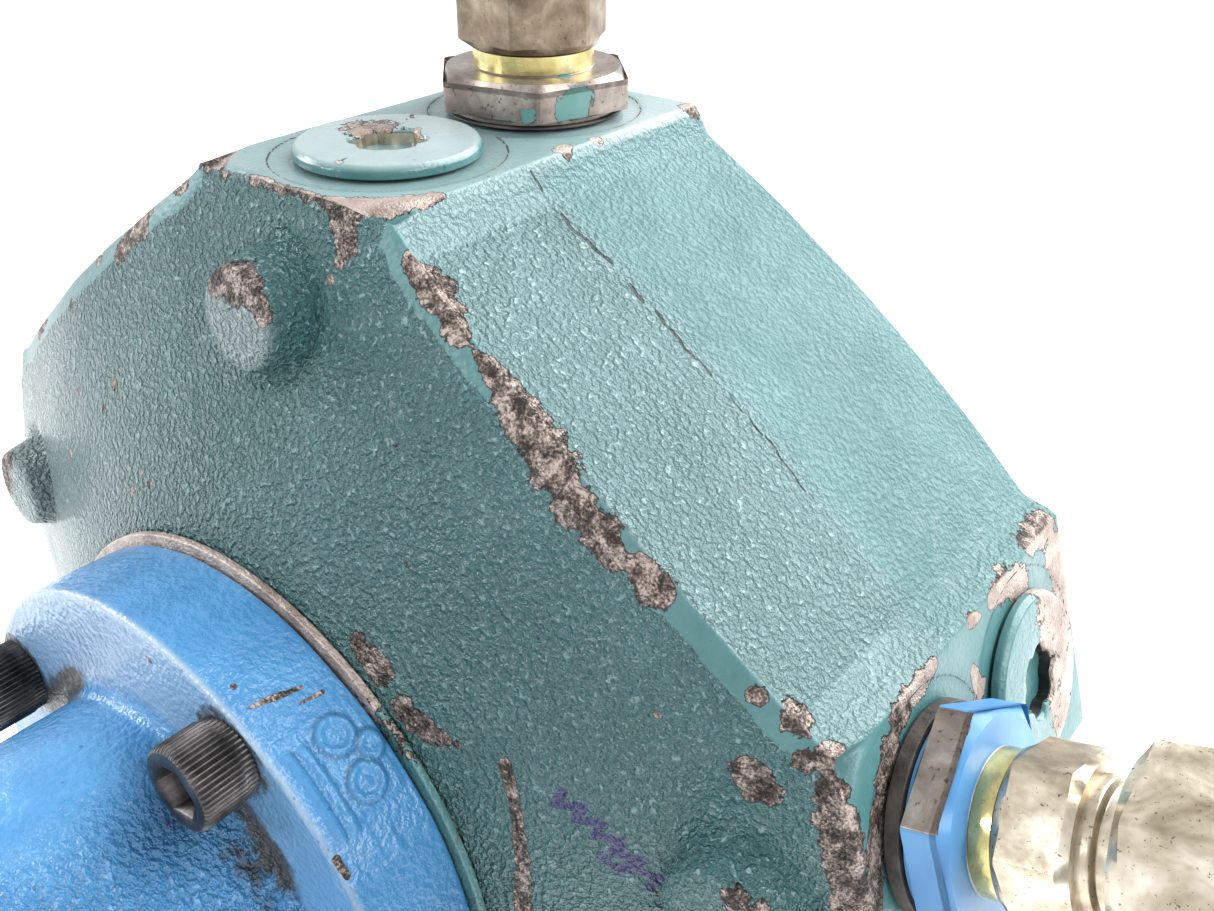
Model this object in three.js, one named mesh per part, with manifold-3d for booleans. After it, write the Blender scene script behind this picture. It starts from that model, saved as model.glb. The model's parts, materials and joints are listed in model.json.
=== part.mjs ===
// Right-angle bevel gearbox with a five-sided cast housing. Millimetres, +Z up.
// The output axis runs along Y at height AXIS_Z; the input (pinion) axis is the Z axis.
import * as THREE from "three";
import { mergeVertices } from "three/addons/utils/BufferGeometryUtils.js";
import Module from "manifold-3d";

const wasm = await Module();
wasm.setup();

// ---- driving dimensions -------------------------------------------------
const GAP = 0.3;
const AXIS_Z = 265;

// five-sided housing, radii and distances measured from the output axis
const PAD_ANGLES = [90, 18, -54, -126, 162];
const PAD_PLANE = 143.8;
const PAD_HALF = 27.2;
const RECESS_PLANE = 130.4;
const RECESS_HALF = 55.5;
const RECESS_DEPTH = 70;
const HALF_DEPTH = 50;
const PORT_ROW = 23;
const PORT_R = 16.3;
const STUB_RADIUS = 10;
const STUB_PITCH = 121;
const NOSE_R = 72.5;
const NOSE_Y = -76.7;
const REAR_Y = 60;
const REAR_R = 118;
const NECK_R = 66;
const NECK_T = 137;
const BORE_FRONT = 50;
const BORE_BOTTOM = 44.3;

// blue bearing flange
const FLANGE_R = 70;
const FLANGE_BACK = -79.1;
const FLANGE_FRONT = -101.4;
const HUB_R = 45;
const HUB_FRONT = -150;
const FLANGE_PITCH = 60;
const FLANGE_SCREW_ANGLES = [61, 151, 241, 331];

// bevel pair
const MODULE = 5;
const PINION_TEETH = 12;
const WHEEL_TEETH = 36;
const FACE_WIDTH = 26;
const SHIFT = 0.35;
const BACKLASH = 0.5;
const PRESSURE = THREE.MathUtils.degToRad(20);
const PINION_PITCH_R = (MODULE * PINION_TEETH) / 2;
const WHEEL_PITCH_R = (MODULE * WHEEL_TEETH) / 2;
const CONE_LENGTH = Math.hypot(PINION_PITCH_R, WHEEL_PITCH_R);

// bearings: bore radius, outer radius, width
const OUT_BEARING = { bore: 22.5, outer: 42.5, width: 19, rollers: 10 };
const IN_BEARING = { bore: 17.5, outer: 36, width: 17, rollers: 9 };
const FRONT_BEARING_Y = -80.5;
const REAR_BEARING_Y = 69.8;
const UPPER_BEARING_T = 108.8;
const LOWER_BEARING_T = 158.8;

// lantern below the housing
const BASE_R = 100;
const BASE_PITCH = 82.5;
const LANTERN_PITCH = 56;

// pipe fittings, distances above their pad
const HEX_41 = 41;
const HEX_30 = 30;
const HEX_36 = 36;

// ---- materials ----------------------------------------------------------
const look = (color, roughness, metalness) =>
  new THREE.MeshStandardMaterial({ color, roughness, metalness });
const TEAL = look(0x5f9a9a, 0.45, 0.0);
const BLUE = look(0x2f7fc4, 0.4, 0.0);
const STEEL = look(0x9a9a98, 0.35, 0.9);
const ZINC = look(0xb9a676, 0.35, 0.85);
const BLACK = look(0x1c1c1e, 0.5, 0.6);
const RUBBER = look(0x151515, 0.9, 0.0);
const FIBRE = look(0xb5a892, 0.9, 0.0);
const GEAR = look(0x80807e, 0.3, 0.9);
const BRASS = look(0xb08d4a, 0.4, 0.8);

// ---- solids -------------------------------------------------------------
function toSolid(geometry) {
  const g = geometry.clone();
  g.deleteAttribute("normal");
  g.deleteAttribute("uv");
  const m = mergeVertices(g, 1e-4);
  const triVerts = new Uint32Array(m.index.array);
  const vertProperties = new Float32Array(m.attributes.position.array);
  const made = new wasm.Manifold(new wasm.Mesh({ numProp: 3, vertProperties, triVerts }));
  if (made.volume() > 0) return made;
  for (let i = 0; i < triVerts.length; i += 3) {
    [triVerts[i + 1], triVerts[i + 2]] = [triVerts[i + 2], triVerts[i + 1]];
  }
  return new wasm.Manifold(new wasm.Mesh({ numProp: 3, vertProperties, triVerts }));
}

function toGeometry(solid) {
  const mesh = solid.getMesh();
  const g = new THREE.BufferGeometry();
  g.setAttribute("position", new THREE.BufferAttribute(mesh.vertProperties, 3));
  g.setIndex(new THREE.BufferAttribute(mesh.triVerts, 1));
  g.computeVertexNormals();
  return g;
}

const join = (...solids) => solids.reduce((a, b) => a.add(b));
const cut = (solid, ...tools) => tools.reduce((a, b) => a.subtract(b), solid);

// A profile of [radius, height] pairs turned about the Y axis.
function turned(profile, segments, closed = false) {
  const points = profile.map(([r, h]) => new THREE.Vector2(r, h));
  if (closed) points.push(points[0].clone());
  return new THREE.LatheGeometry(points, segments);
}

// A closed ring with the given section, [radius, height] pairs.
const ring = (profile, segments) => turned(profile, segments, true);

const rod = (radius, h0, h1, segments = 16) =>
  turned([[0, h0], [radius, h0], [radius, h1], [0, h1]], segments);

function hexRod(acrossFlats, h0, h1, turn = 0) {
  const g = rod(acrossFlats / Math.sqrt(3), h0, h1, 6);
  g.rotateY(turn);
  return g;
}

function block(x, y, z, cx, cy, cz) {
  const g = new THREE.BoxGeometry(x, y, z);
  g.translate(cx, cy, cz);
  return g;
}

// placements: turned about Y is already the output axis
function onOutput(g) {
  g.translate(0, 0, AXIS_Z);
  return g;
}

// height h counts down from the output axis along the pinion axis
function onInput(g) {
  g.rotateX(-Math.PI / 2);
  g.translate(0, 0, AXIS_Z);
  return g;
}

// height h counts outwards from the output axis along the normal of a pad
function onPad(g, angle, y) {
  g.rotateX(Math.PI / 2);
  g.rotateY(Math.PI / 2 - THREE.MathUtils.degToRad(angle));
  g.translate(0, y, AXIS_Z);
  return g;
}

// a copy carried to a pitch circle about the Y axis
function aroundY(g, radius, degrees) {
  const a = THREE.MathUtils.degToRad(degrees);
  g.translate(radius * Math.cos(a), 0, radius * Math.sin(a));
  return g;
}

const group = new THREE.Group();
function add(name, solidOrGeometry, material) {
  const solid = solidOrGeometry.isBufferGeometry ? toSolid(solidOrGeometry) : solidOrGeometry;
  const mesh = new THREE.Mesh(toGeometry(solid), material);
  mesh.name = name;
  group.add(mesh);
}

// ---- housing ------------------------------------------------------------
function starOutline() {
  const shape = [];
  const put = (angle, distance, side) => {
    const a = THREE.MathUtils.degToRad(angle);
    const x = distance * Math.cos(a) - side * Math.sin(a);
    const z = distance * Math.sin(a) + side * Math.cos(a);
    shape.push(new THREE.Vector2(x, z));
  };
  for (let i = 0; i < 5; i += 1) {
    const pad = 18 + 72 * i;
    put(pad, PAD_PLANE, -PAD_HALF);
    put(pad, PAD_PLANE, PAD_HALF);
  }
  return new THREE.Shape(shape);
}

function starPrism(y0, y1) {
  const g = new THREE.ExtrudeGeometry(starOutline(), { depth: y1 - y0, bevelEnabled: false });
  g.rotateX(Math.PI / 2);
  g.translate(0, y1, 0);
  return g;
}

function housing() {
  const outside = turned([
    [0, NOSE_Y], [NOSE_R, NOSE_Y], [PAD_PLANE, -HALF_DEPTH], [152, -46.9],
    [152, HALF_DEPTH], [124, 54], [REAR_R, 56], [REAR_R, REAR_Y], [0, REAR_Y],
  ], 36);
  let body = toSolid(starPrism(-90, 70)).intersect(toSolid(outside));
  for (const angle of PAD_ANGLES) {
    const pocket = onPad(
      block(2 * RECESS_HALF, 20, 2 * RECESS_DEPTH, 0, RECESS_PLANE + 10, 0), angle + 36, 0);
    pocket.translate(0, 0, -AXIS_Z);
    const stub = aroundY(rod(STUB_RADIUS, -61.5, -40, 12), STUB_PITCH, angle);
    body = body.subtract(toSolid(pocket)).add(toSolid(stub));
  }
  const neck = turned([
    [0, 80], [58, 80], [58, 115], [NECK_R, 119], [NECK_R, NECK_T], [0, NECK_T],
  ], 24);
  neck.rotateX(-Math.PI / 2);
  body = body.add(toSolid(neck));
  const cavity = turned([
    [0, -80], [BORE_FRONT, -80], [BORE_FRONT, -58], [68, -57], [112, -49],
    [112, 46], [101, 52], [101, 70], [0, 70],
  ], 28);
  body = body.subtract(toSolid(cavity));
  const bottomBore = rod(BORE_BOTTOM, 80, 145, 28);
  bottomBore.rotateX(-Math.PI / 2);
  body = body.subtract(toSolid(bottomBore));
  for (const angle of PAD_ANGLES) {
    for (const row of [-PORT_ROW, PORT_ROW]) {
      const port = onPad(rod(PORT_R, 100, 160, 12), angle, row);
      port.translate(0, 0, -AXIS_Z);
      body = body.subtract(toSolid(port));
    }
  }
  for (const angle of FLANGE_SCREW_ANGLES) {
    body = body.subtract(toSolid(aroundY(rod(6.4, -80, -61, 10), FLANGE_PITCH, angle)));
  }
  for (let i = 0; i < 6; i += 1) {
    body = body.subtract(toSolid(aroundY(rod(4.5, 50.4, 65, 8), 108, 30 + 60 * i)));
  }
  for (let i = 0; i < 4; i += 1) {
    const hole = aroundY(rod(5.4, 118, 140, 8), LANTERN_PITCH, 45 + 90 * i);
    hole.rotateX(-Math.PI / 2);
    body = body.subtract(toSolid(hole));
  }
  return body.translate([0, 0, AXIS_Z]);
}
add("housing", housing(), TEAL);

// ---- rear cover ---------------------------------------------------------
function rearCover() {
  const plate = turned([
    [0, 84], [50, 84], [54, 80], [56, 72.5], [114, 72], [114, REAR_Y + GAP],
    [99.8, REAR_Y + GAP], [99.8, 54.5], [60, 54.5], [56, 59.5], [42.9, 59.5], [42.9, 80], [0, 80],
  ], 28);
  let cover = toSolid(plate);
  for (let i = 0; i < 6; i += 1) {
    cover = cover.subtract(toSolid(aroundY(rod(4.8, 50, 90, 8), 108, 30 + 60 * i)));
  }
  return cover.translate([0, 0, AXIS_Z]);
}
add("rear_cover", rearCover(), TEAL);

function hexBolt(headFlats, headHeight, radius, seat, tip) {
  return join(
    toSolid(hexRod(headFlats, seat, seat + headHeight, 0.2)),
    toSolid(rod(radius, tip, seat + 1, 8)),
  );
}
for (let i = 0; i < 6; i += 1) {
  const bolt = toGeometry(hexBolt(13, 5.3, 4, 72.3, 51.5));
  add(`rear_bolt_${i + 1}`, onOutput(aroundY(bolt, 108, 30 + 60 * i)), STEEL);
}

// ---- blue bearing flange, its shim ring and screws ----------------------
function bearingFlange() {
  const section = ring([
    [FLANGE_R - 1.5, FLANGE_FRONT], [FLANGE_R, FLANGE_FRONT + 1.5], [FLANGE_R, FLANGE_BACK],
    [49.2, FLANGE_BACK], [49.2, -66], [42.9, -66], [42.9, -91], [38, -91], [38, -93], [26, -93],
    [26, -139.5], [31, -139.5], [31, HUB_FRONT], [HUB_R - 3, HUB_FRONT], [HUB_R, HUB_FRONT + 4],
    [HUB_R, -106], [HUB_R - 1.5, -102], [HUB_R - 1.5, FLANGE_FRONT],
  ], 28);
  let flange = toSolid(section);
  for (const angle of FLANGE_SCREW_ANGLES) {
    flange = flange.subtract(toSolid(aroundY(rod(6.8, -105, -60, 10), FLANGE_PITCH, angle)));
  }
  return flange.translate([0, 0, AXIS_Z]);
}
add("bearing_flange", bearingFlange(), BLUE);

function shimRing() {
  const y0 = FLANGE_BACK + GAP;
  const y1 = NOSE_Y - GAP;
  let shim = toSolid(ring([[50.4, y0], [72.5, y0], [72.5, y1], [50.4, y1]], 28));
  for (const angle of FLANGE_SCREW_ANGLES) {
    shim = shim.subtract(toSolid(aroundY(rod(6.8, -80, -70, 8), FLANGE_PITCH, angle)));
  }
  return shim.translate([0, 0, AXIS_Z]);
}
add("flange_shim", shimRing(), FIBRE);

function socketScrew(headR, headL, radius, seat, tip, socket, sides) {
  const head = turned([
    [0, seat - headL], [headR - 0.8, seat - headL], [headR, seat - headL + 0.8],
    [headR, seat], [radius, seat], [radius, tip], [0, tip],
  ], sides);
  return cut(toSolid(head), toSolid(hexRod(socket, seat - headL - 1, seat - headL * 0.45)));
}
FLANGE_SCREW_ANGLES.forEach((angle, i) => {
  const screw = toGeometry(socketScrew(9, 12, 6, FLANGE_FRONT - GAP, -63, 10, 12));
  add(`flange_screw_${i + 1}`, onOutput(aroundY(screw, FLANGE_PITCH, angle)), BLACK);
});

// ---- bevel gears --------------------------------------------------------
const involute = (a) => Math.tan(a) - a;

// One tooth of a virtual spur gear: [angle, radius] pairs from root to root.
function toothPoints(teeth, coneAngle, shift) {
  const virtualR = (MODULE * teeth) / 2 / Math.cos(coneAngle);
  const virtualZ = teeth / Math.cos(coneAngle);
  const baseR = virtualR * Math.cos(PRESSURE);
  const tipR = virtualR + MODULE * (1 + shift);
  const rootR = virtualR - MODULE * (1.25 - shift);
  const half = (Math.PI / 2 + 2 * shift * Math.tan(PRESSURE)) / virtualZ;
  const thin = BACKLASH / 4 / virtualR;
  const halfAt = (r) => {
    const a = Math.acos(Math.min(1, baseR / Math.max(r, baseR)));
    return half - thin + involute(PRESSURE) - involute(a);
  };
  const start = Math.max(rootR, baseR);
  const radii = [start, start + (tipR - start) * 0.45, tipR];
  const flank = radii.map((r) => [halfAt(r), r]);
  if (rootR < start - 0.2) flank[0] = [halfAt(start), rootR];
  const left = flank.map(([a, r]) => [-a, r]);
  const right = flank.map(([a, r]) => [a, r]).reverse();
  return [...left, ...right].map(([a, r]) => [a / Math.cos(coneAngle), r]);
}

// Teeth about +Y with the cone apex at the origin; hub = [radius, axial] behind and before.
function bevelTeeth(teeth, coneAngle, shift, phase, back, front) {
  const inner = (CONE_LENGTH - FACE_WIDTH) / CONE_LENGTH;
  const tooth = toothPoints(teeth, coneAngle, shift);
  const n = tooth.length;
  const positions = [];
  const put = (radial, axial, angle) => {
    positions.push(radial * Math.sin(angle), axial, radial * Math.cos(angle));
    return positions.length / 3 - 1;
  };
  const outer = [];
  const small = [];
  const rearHub = [];
  const frontHub = [];
  for (let i = 0; i < teeth; i += 1) {
    const centre = phase + (2 * Math.PI * i) / teeth;
    rearHub.push(put(back[0], back[1], centre));
    frontHub.push(put(front[0], front[1], centre));
    for (const [angle, r] of tooth) {
      const radial = r * Math.cos(coneAngle);
      const axial = CONE_LENGTH / Math.cos(coneAngle) - r * Math.sin(coneAngle);
      outer.push(put(radial, axial, centre + angle));
      small.push(put(radial * inner, axial * inner, centre + angle));
    }
  }
  const rearCentre = put(0, back[1], 0);
  const frontCentre = put(0, front[1], 0);
  const index = [];
  const total = outer.length;
  for (let k = 0; k < total; k += 1) {
    const next = (k + 1) % total;
    const i = Math.floor(k / n);
    const lastOfTooth = k % n === n - 1;
    index.push(outer[k], outer[next], small[next], outer[k], small[next], small[k]);
    index.push(rearHub[i], outer[next], outer[k]);
    index.push(frontHub[i], small[k], small[next]);
    if (lastOfTooth) {
      const j = (i + 1) % teeth;
      index.push(rearHub[i], rearHub[j], outer[next], rearHub[j], rearHub[i], rearCentre);
      index.push(frontHub[i], small[next], frontHub[j], frontHub[j], frontCentre, frontHub[i]);
    }
  }
  const g = new THREE.BufferGeometry();
  g.setAttribute("position", new THREE.BufferAttribute(new Float32Array(positions), 3));
  g.setIndex(index);
  return g;
}

const PINION_CONE = Math.atan2(PINION_PITCH_R, WHEEL_PITCH_R);
const WHEEL_CONE = Math.PI / 2 - PINION_CONE;

function crownWheel() {
  const phase = Math.PI + Math.PI / WHEEL_TEETH;
  const teeth = bevelTeeth(WHEEL_TEETH, WHEEL_CONE, -SHIFT, phase, [56, 49], [56, 32]);
  const blank = turned([[0, 22.4], [44, 22.4], [46, 24], [46, 56], [0, 56]], 24);
  const wheel = join(toSolid(teeth), toSolid(blank));
  const key = block(16.6, 40, 6, 0, 39, 28.5);
  return cut(wheel, toSolid(rod(27.4, 0, 80, 20)), toSolid(key)).translate([0, 0, AXIS_Z]);
}
add("crown_wheel", crownWheel(), GEAR);

function pinionShaft() {
  const teeth = bevelTeeth(PINION_TEETH, PINION_CONE, SHIFT, 0, [19, 92.6], [12, 66.2]);
  const shaft = turned([
    [0, 67], [15, 67], [15, 92], [24, 92.4], [24, 99.9], [17.5, 100], [17.5, 168.1], [17, 168.2],
    [17, 178], [16, 178.2], [16, 190], [14, 190.2], [14, 249], [13, 250], [0, 250],
  ], 20);
  const pinion = join(toSolid(teeth), toSolid(shaft));
  const slot = block(8.4, 42, 5, 0, 222, 12.5);
  const made = toGeometry(cut(pinion, toSolid(slot)));
  return onInput(made);
}
add("pinion_shaft", pinionShaft(), GEAR);

function outputShaft() {
  const shaft = toSolid(turned([
    [0, -205], [18.5, -205], [20, -203.5], [20, -153], [22, -152.5], [22, -92], [22.5, -91.8],
    [22.5, -70.3], [27, -70.2], [27, 12], [34, 12.5], [34, 22], [27, 22.1], [27, 56.5],
    [22.5, 56.6], [22.5, 78.4], [21.5, 79.4], [0, 79.4],
  ], 20));
  const endSlot = block(12.4, 42, 6, 0, -179, 18);
  const wheelSlot = block(16.4, 30.4, 6, 0, 39.2, 25);
  return cut(shaft, toSolid(endSlot), toSolid(wheelSlot)).translate([0, 0, AXIS_Z]);
}
add("output_shaft", outputShaft(), STEEL);
add("output_key", onOutput(block(12, 41.4, 8, 0, -179, 19.3)), STEEL);
add("wheel_key", onOutput(block(16, 29.8, 8.6, 0, 39.2, 26.6)), STEEL);
add("wheel_spacer", onOutput(ring([[22.9, 56.9], [30, 56.9], [30, 60], [22.9, 60]], 20)), STEEL);
add("input_key", onInput(block(8, 41.4, 6.6, 0, 222, 13.6)), STEEL);

// ---- bearings -----------------------------------------------------------
// Rollers joined by the bars of their cage, as one crenellated ring.
function rollerCage(mean, low, top, rollers) {
  const outline = (sign) => {
    const points = [];
    for (let i = 0; i < rollers; i += 1) {
      for (const [turn, bulge] of [[-5.4, 1.6], [-3.4, 3.2], [3.4, 3.2], [5.4, 1.6]]) {
        const a = THREE.MathUtils.degToRad((360 * i) / rollers + (turn * 32) / mean);
        const r = mean + sign * bulge;
        points.push(new THREE.Vector2(r * Math.cos(a), r * Math.sin(a)));
      }
    }
    return points;
  };
  const shape = new THREE.Shape(outline(1));
  shape.holes.push(new THREE.Path(outline(-1)));
  const g = new THREE.ExtrudeGeometry(shape, { depth: top - low, bevelEnabled: false });
  g.rotateX(-Math.PI / 2);
  g.translate(0, low, 0);
  return g;
}

function bearing(name, size, centre, place) {
  const { bore, outer, width, rollers } = size;
  const mean = (bore + outer) / 2;
  const race = 4.2;
  const top = centre + width / 2;
  const low = centre - width / 2;
  const section = (r0, r1) => ring([[r0, low], [r1, low], [r1, top], [r0, top]], 20);
  add(`${name}_inner`, place(section(bore + GAP, mean - race)), STEEL);
  add(`${name}_outer`, place(section(mean + race, outer)), STEEL);
  add(`${name}_cage`, place(rollerCage(mean, low + 1, top - 1, rollers)), BRASS);
}
bearing("front_bearing", OUT_BEARING, FRONT_BEARING_Y, onOutput);
bearing("rear_bearing", OUT_BEARING, REAR_BEARING_Y, onOutput);
bearing("upper_bearing", IN_BEARING, UPPER_BEARING_T, onInput);
bearing("lower_bearing", IN_BEARING, LOWER_BEARING_T, onInput);

// ---- seals, spacer sleeve and locknut -----------------------------------
const sealSection = (r0, r1, h0, h1) => [[r0, h0], [r1, h0], [r1, h1], [r0 + 2, h1], [r0, h1 - 2]];
add("output_seal", onOutput(ring(sealSection(22.4, 30.4, -149, -140.2), 24)), RUBBER);
add("input_seal", onInput(ring(sealSection(16.4, 25.5, 179.2, 187), 20)), RUBBER);
const sleeve = ring([[17.9, 117.7], [21.5, 117.7], [21.5, 149.9], [17.9, 149.9]], 20);
add("pinion_spacer", onInput(sleeve), STEEL);

function lockNut() {
  const nut = toSolid(ring([[17.9, 168.4], [25.5, 168.4], [25.5, 176.5], [17.9, 176.5]], 20));
  const notch = block(5, 12, 60, 0, 172, 0);
  const across = notch.clone();
  across.rotateY(Math.PI / 2);
  const core = rod(22.8, 160, 180, 24);
  const notches = cut(join(toSolid(notch), toSolid(across)), toSolid(core));
  return toGeometry(nut.subtract(notches));
}
add("pinion_locknut", onInput(lockNut()), STEEL);

// ---- lantern carrying the input bearings --------------------------------
function lantern() {
  const section = ring([
    [43.4, 98.5], [43.4, NECK_T + GAP], [NECK_R + 4, NECK_T + GAP], [NECK_R + 4, 150],
    [72, 166], [76, 236], [BASE_R - 2, 247], [BASE_R, 249], [BASE_R, AXIS_Z], [65, AXIS_Z],
    [65, 261], [67, 238], [66, 155], [64.8, 152.6], [47, 152.6], [45, 155], [43, 190], [26, 190],
    [26, 178.8], [30, 178.5], [30, 167.8], [36.4, 167.7], [36.4, 98.5],
  ], 24);
  let body = toSolid(section);
  for (let i = 0; i < 4; i += 1) {
    const turn = (g) => g.rotateY((Math.PI / 2) * i);
    body = body.subtract(toSolid(turn(block(58, 52, 60, 0, 197, 70))));
    const hole = aroundY(rod(5.8, 125, 170, 8), LANTERN_PITCH, 45 + 90 * i);
    const foot = aroundY(rod(6, 240, 270, 10), BASE_PITCH, 45 + 90 * i);
    body = cut(body, toSolid(hole), toSolid(foot));
  }
  return onInput(toGeometry(body));
}
add("input_lantern", lantern(), TEAL);

for (let i = 0; i < 4; i += 1) {
  const screw = toGeometry(socketScrew(8, 10, 5, 0, 30, 8, 10));
  screw.rotateX(Math.PI);
  screw.translate(0, 152.9, 0);
  add(`lantern_screw_${i + 1}`, onInput(aroundY(screw, LANTERN_PITCH, 45 + 90 * i)), BLACK);
}

// ---- screw plugs in the pads --------------------------------------------
function plug() {
  const h = PAD_PLANE;
  const body = turned([
    [0, h - 18], [15.7, h - 18], [15.7, h + GAP], [19.6, h + GAP], [19.6, h + 2.2],
    [18.6, h + 3], [0, h + 3],
  ], 12);
  return toGeometry(cut(toSolid(body), toSolid(hexRod(14, h - 7, h + 5))));
}
const PLUGS = [
  ["plug_top", 90, -1], ["plug_right", 18, 1], ["plug_left_front", 162, -1],
  ["plug_left_rear", 162, 1], ["plug_low_right_front", -54, -1], ["plug_low_right_rear", -54, 1],
  ["plug_low_left_front", -126, -1], ["plug_low_left_rear", -126, 1],
];
for (const [name, angle, side] of PLUGS) {
  add(name, onPad(plug(), angle, side * PORT_ROW), TEAL);
}

// ---- lubrication pipe fittings ------------------------------------------
function adapter(rise) {
  const h = PAD_PLANE + rise;
  const body = join(
    toSolid(rod(15.7, PAD_PLANE - 18, h + 1, 14)),
    toSolid(rod(19.5, h, h + 1.5, 18)),
    toSolid(hexRod(HEX_41, h + 0.9, h + 8.9)),
    toSolid(rod(13.5, h + 8, h + 13.4, 18)),
  );
  return cut(body, toSolid(rod(8.4, 100, h + 20, 12)));
}

function unionBody(rise) {
  const h = PAD_PLANE + rise;
  const body = join(
    toSolid(rod(8, h + 2, h + 14, 12)),
    toSolid(hexRod(HEX_30, h + 13.7, h + 27.2)),
    toSolid(rod(12.5, h + 27, h + 30, 18)),
    toSolid(rod(11, h + 27, h + 48, 18)),
  );
  return cut(body, toSolid(rod(5.5, h, h + 60, 10)));
}

function unionNut(rise) {
  const h = PAD_PLANE + rise;
  const blank = toSolid(hexRod(HEX_36, h + 34, h + 58));
  const rounding = toSolid(turned([
    [0, h + 34], [17.6, h + 34], [21, h + 36.2], [21, h + 55], [17.6, h + 58], [0, h + 58],
  ], 18));
  const bore = toSolid(turned([
    [0, h + 30], [11.4, h + 30], [11.4, h + 50], [9.4, h + 52], [9.4, h + 60], [0, h + 60],
  ], 18));
  return cut(blank.intersect(rounding), bore);
}

function blankingPlug(rise) {
  const h = PAD_PLANE + rise;
  return turned([[0, h + 48.5], [8.8, h + 48.5], [8.8, h + 61], [7.8, h + 62], [0, h + 62]], 14);
}

// name, pad angle, row, rise of the adapter above the pad, its paint, turns of the three hexagons
const FITTINGS = [
  ["top", 90, 1, 1, STEEL, [0.76, 0.44, 0.3]],
  ["right", 18, -1, 3.6, BLUE, [0.544, 0.735, 0.12]],
];
for (const [name, angle, side, rise, paint, turns] of FITTINGS) {
  const place = (g, turn = 0) => onPad(g.rotateY(turn), angle, side * PORT_ROW);
  add(`${name}_adapter`, place(toGeometry(adapter(rise)), turns[0]), paint);
  add(`${name}_union_body`, place(toGeometry(unionBody(rise)), turns[1]), ZINC);
  add(`${name}_union_nut`, place(toGeometry(unionNut(rise)), turns[2]), ZINC);
  add(`${name}_blanking_plug`, place(blankingPlug(rise)), STEEL);
}
function sealRing(low, high) {
  const [h0, h1] = [PAD_PLANE + low, PAD_PLANE + high];
  return ring([[16.7, h0], [20.5, h0], [20.5, h1], [16.7, h1]], 20);
}
add("top_seal_ring", onPad(sealRing(GAP, 0.8), 90, PORT_ROW), BLACK);
add("right_seal_ring", onPad(sealRing(GAP, 3.3), 18, -PORT_ROW), RUBBER);

export default group;
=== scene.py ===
"""Right angle bevel gearbox: the fine surfaces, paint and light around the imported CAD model.

Shapes are worked out in millimetres, measured from the output axis where that helps, and put
into the frame in metres.
"""
import json
from functools import partial
from math import cos, dist, hypot, pi, radians, sin, sqrt, tan
from types import SimpleNamespace

import bpy
import bmesh
import numpy as np
from mathutils import Matrix, Vector, noise


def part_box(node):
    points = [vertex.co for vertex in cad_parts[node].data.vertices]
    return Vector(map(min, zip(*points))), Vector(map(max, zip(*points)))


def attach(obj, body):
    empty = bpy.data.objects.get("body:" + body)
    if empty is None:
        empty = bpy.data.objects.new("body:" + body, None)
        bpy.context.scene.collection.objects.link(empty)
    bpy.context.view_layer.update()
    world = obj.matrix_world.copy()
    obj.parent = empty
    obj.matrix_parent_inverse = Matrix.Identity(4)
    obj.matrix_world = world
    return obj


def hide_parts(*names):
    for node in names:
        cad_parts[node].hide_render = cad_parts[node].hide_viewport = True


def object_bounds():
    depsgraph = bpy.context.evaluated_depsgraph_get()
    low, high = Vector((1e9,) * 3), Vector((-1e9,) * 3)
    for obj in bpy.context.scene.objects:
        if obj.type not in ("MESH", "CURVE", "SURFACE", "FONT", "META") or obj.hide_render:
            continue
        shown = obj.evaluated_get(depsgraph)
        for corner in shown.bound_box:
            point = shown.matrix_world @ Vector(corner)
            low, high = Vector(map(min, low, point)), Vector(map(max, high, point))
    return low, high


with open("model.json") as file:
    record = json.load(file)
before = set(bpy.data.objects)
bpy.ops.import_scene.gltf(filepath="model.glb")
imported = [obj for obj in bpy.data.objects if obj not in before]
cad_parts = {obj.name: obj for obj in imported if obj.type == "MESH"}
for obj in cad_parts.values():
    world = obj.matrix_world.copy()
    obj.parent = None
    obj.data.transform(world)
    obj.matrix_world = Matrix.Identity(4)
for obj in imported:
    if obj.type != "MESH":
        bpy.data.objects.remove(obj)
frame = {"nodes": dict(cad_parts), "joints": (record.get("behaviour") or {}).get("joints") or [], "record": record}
CAD_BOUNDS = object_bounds()
MM = 0.001
SEED = 11

# ---- sizes read from the frame --------------------------------------------------
SPIN = next(j for j in frame["joints"] if j["name"] == "output_spin")
AXIS_Z = SPIN["pos_m"][2] / MM
PLUG_RISE = 3.0
PAD_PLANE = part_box("plug_top")[1].z / MM - AXIS_Z - PLUG_RISE
PORT_ROW = abs(sum(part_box("plug_top")[k].y for k in (0, 1))) / 2 / MM
NOSE_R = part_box("flange_shim")[1].x / MM
SHIM_GAP = 0.3
NOSE_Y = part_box("flange_shim")[1].y / MM + SHIM_GAP
FLANGE_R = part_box("bearing_flange")[1].x / MM
COVER_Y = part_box("rear_cover")[1].y / MM
BASE_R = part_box("input_lantern")[1].x / MM

# ---- shape of the casting -------------------------------------------------------
PADS = [90, 18, -54, -126, 162]
PAD_HALF = 27.2
SECTOR = radians(36)
CHORD = PAD_PLANE * cos(SECTOR) + PAD_HALF * sin(SECTOR)
CHORD_HALF = PAD_PLANE * sin(SECTOR) - PAD_HALF * cos(SECTOR)
CONE_SLOPE = 0.3745
REAR_Y = 50.0
REAR_R = 117.5
REAR_STEPS = [(0.12, 0.25), (0.24, 0.5), (0.35, 0.8), (0.7, 2.2), (1.0, 4.5), (1.0, 9.9)]
WALL = 6.5
CHAMFER = 4.3
PARTING_Y = -10.5
SPOT_R = 24.6
STUB_R = 11.2
STUB_PITCH = 121.0
STUB_Y = -66.2
STUB_CHIP_R = 8.6
CONE_ROWS = 116
SIDE_START = CONE_ROWS + 2
SIDE_ROWS = 160
REAR_START = SIDE_START + SIDE_ROWS


def cone_y(r):
    return NOSE_Y + CONE_SLOPE * (r - NOSE_R)


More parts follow.
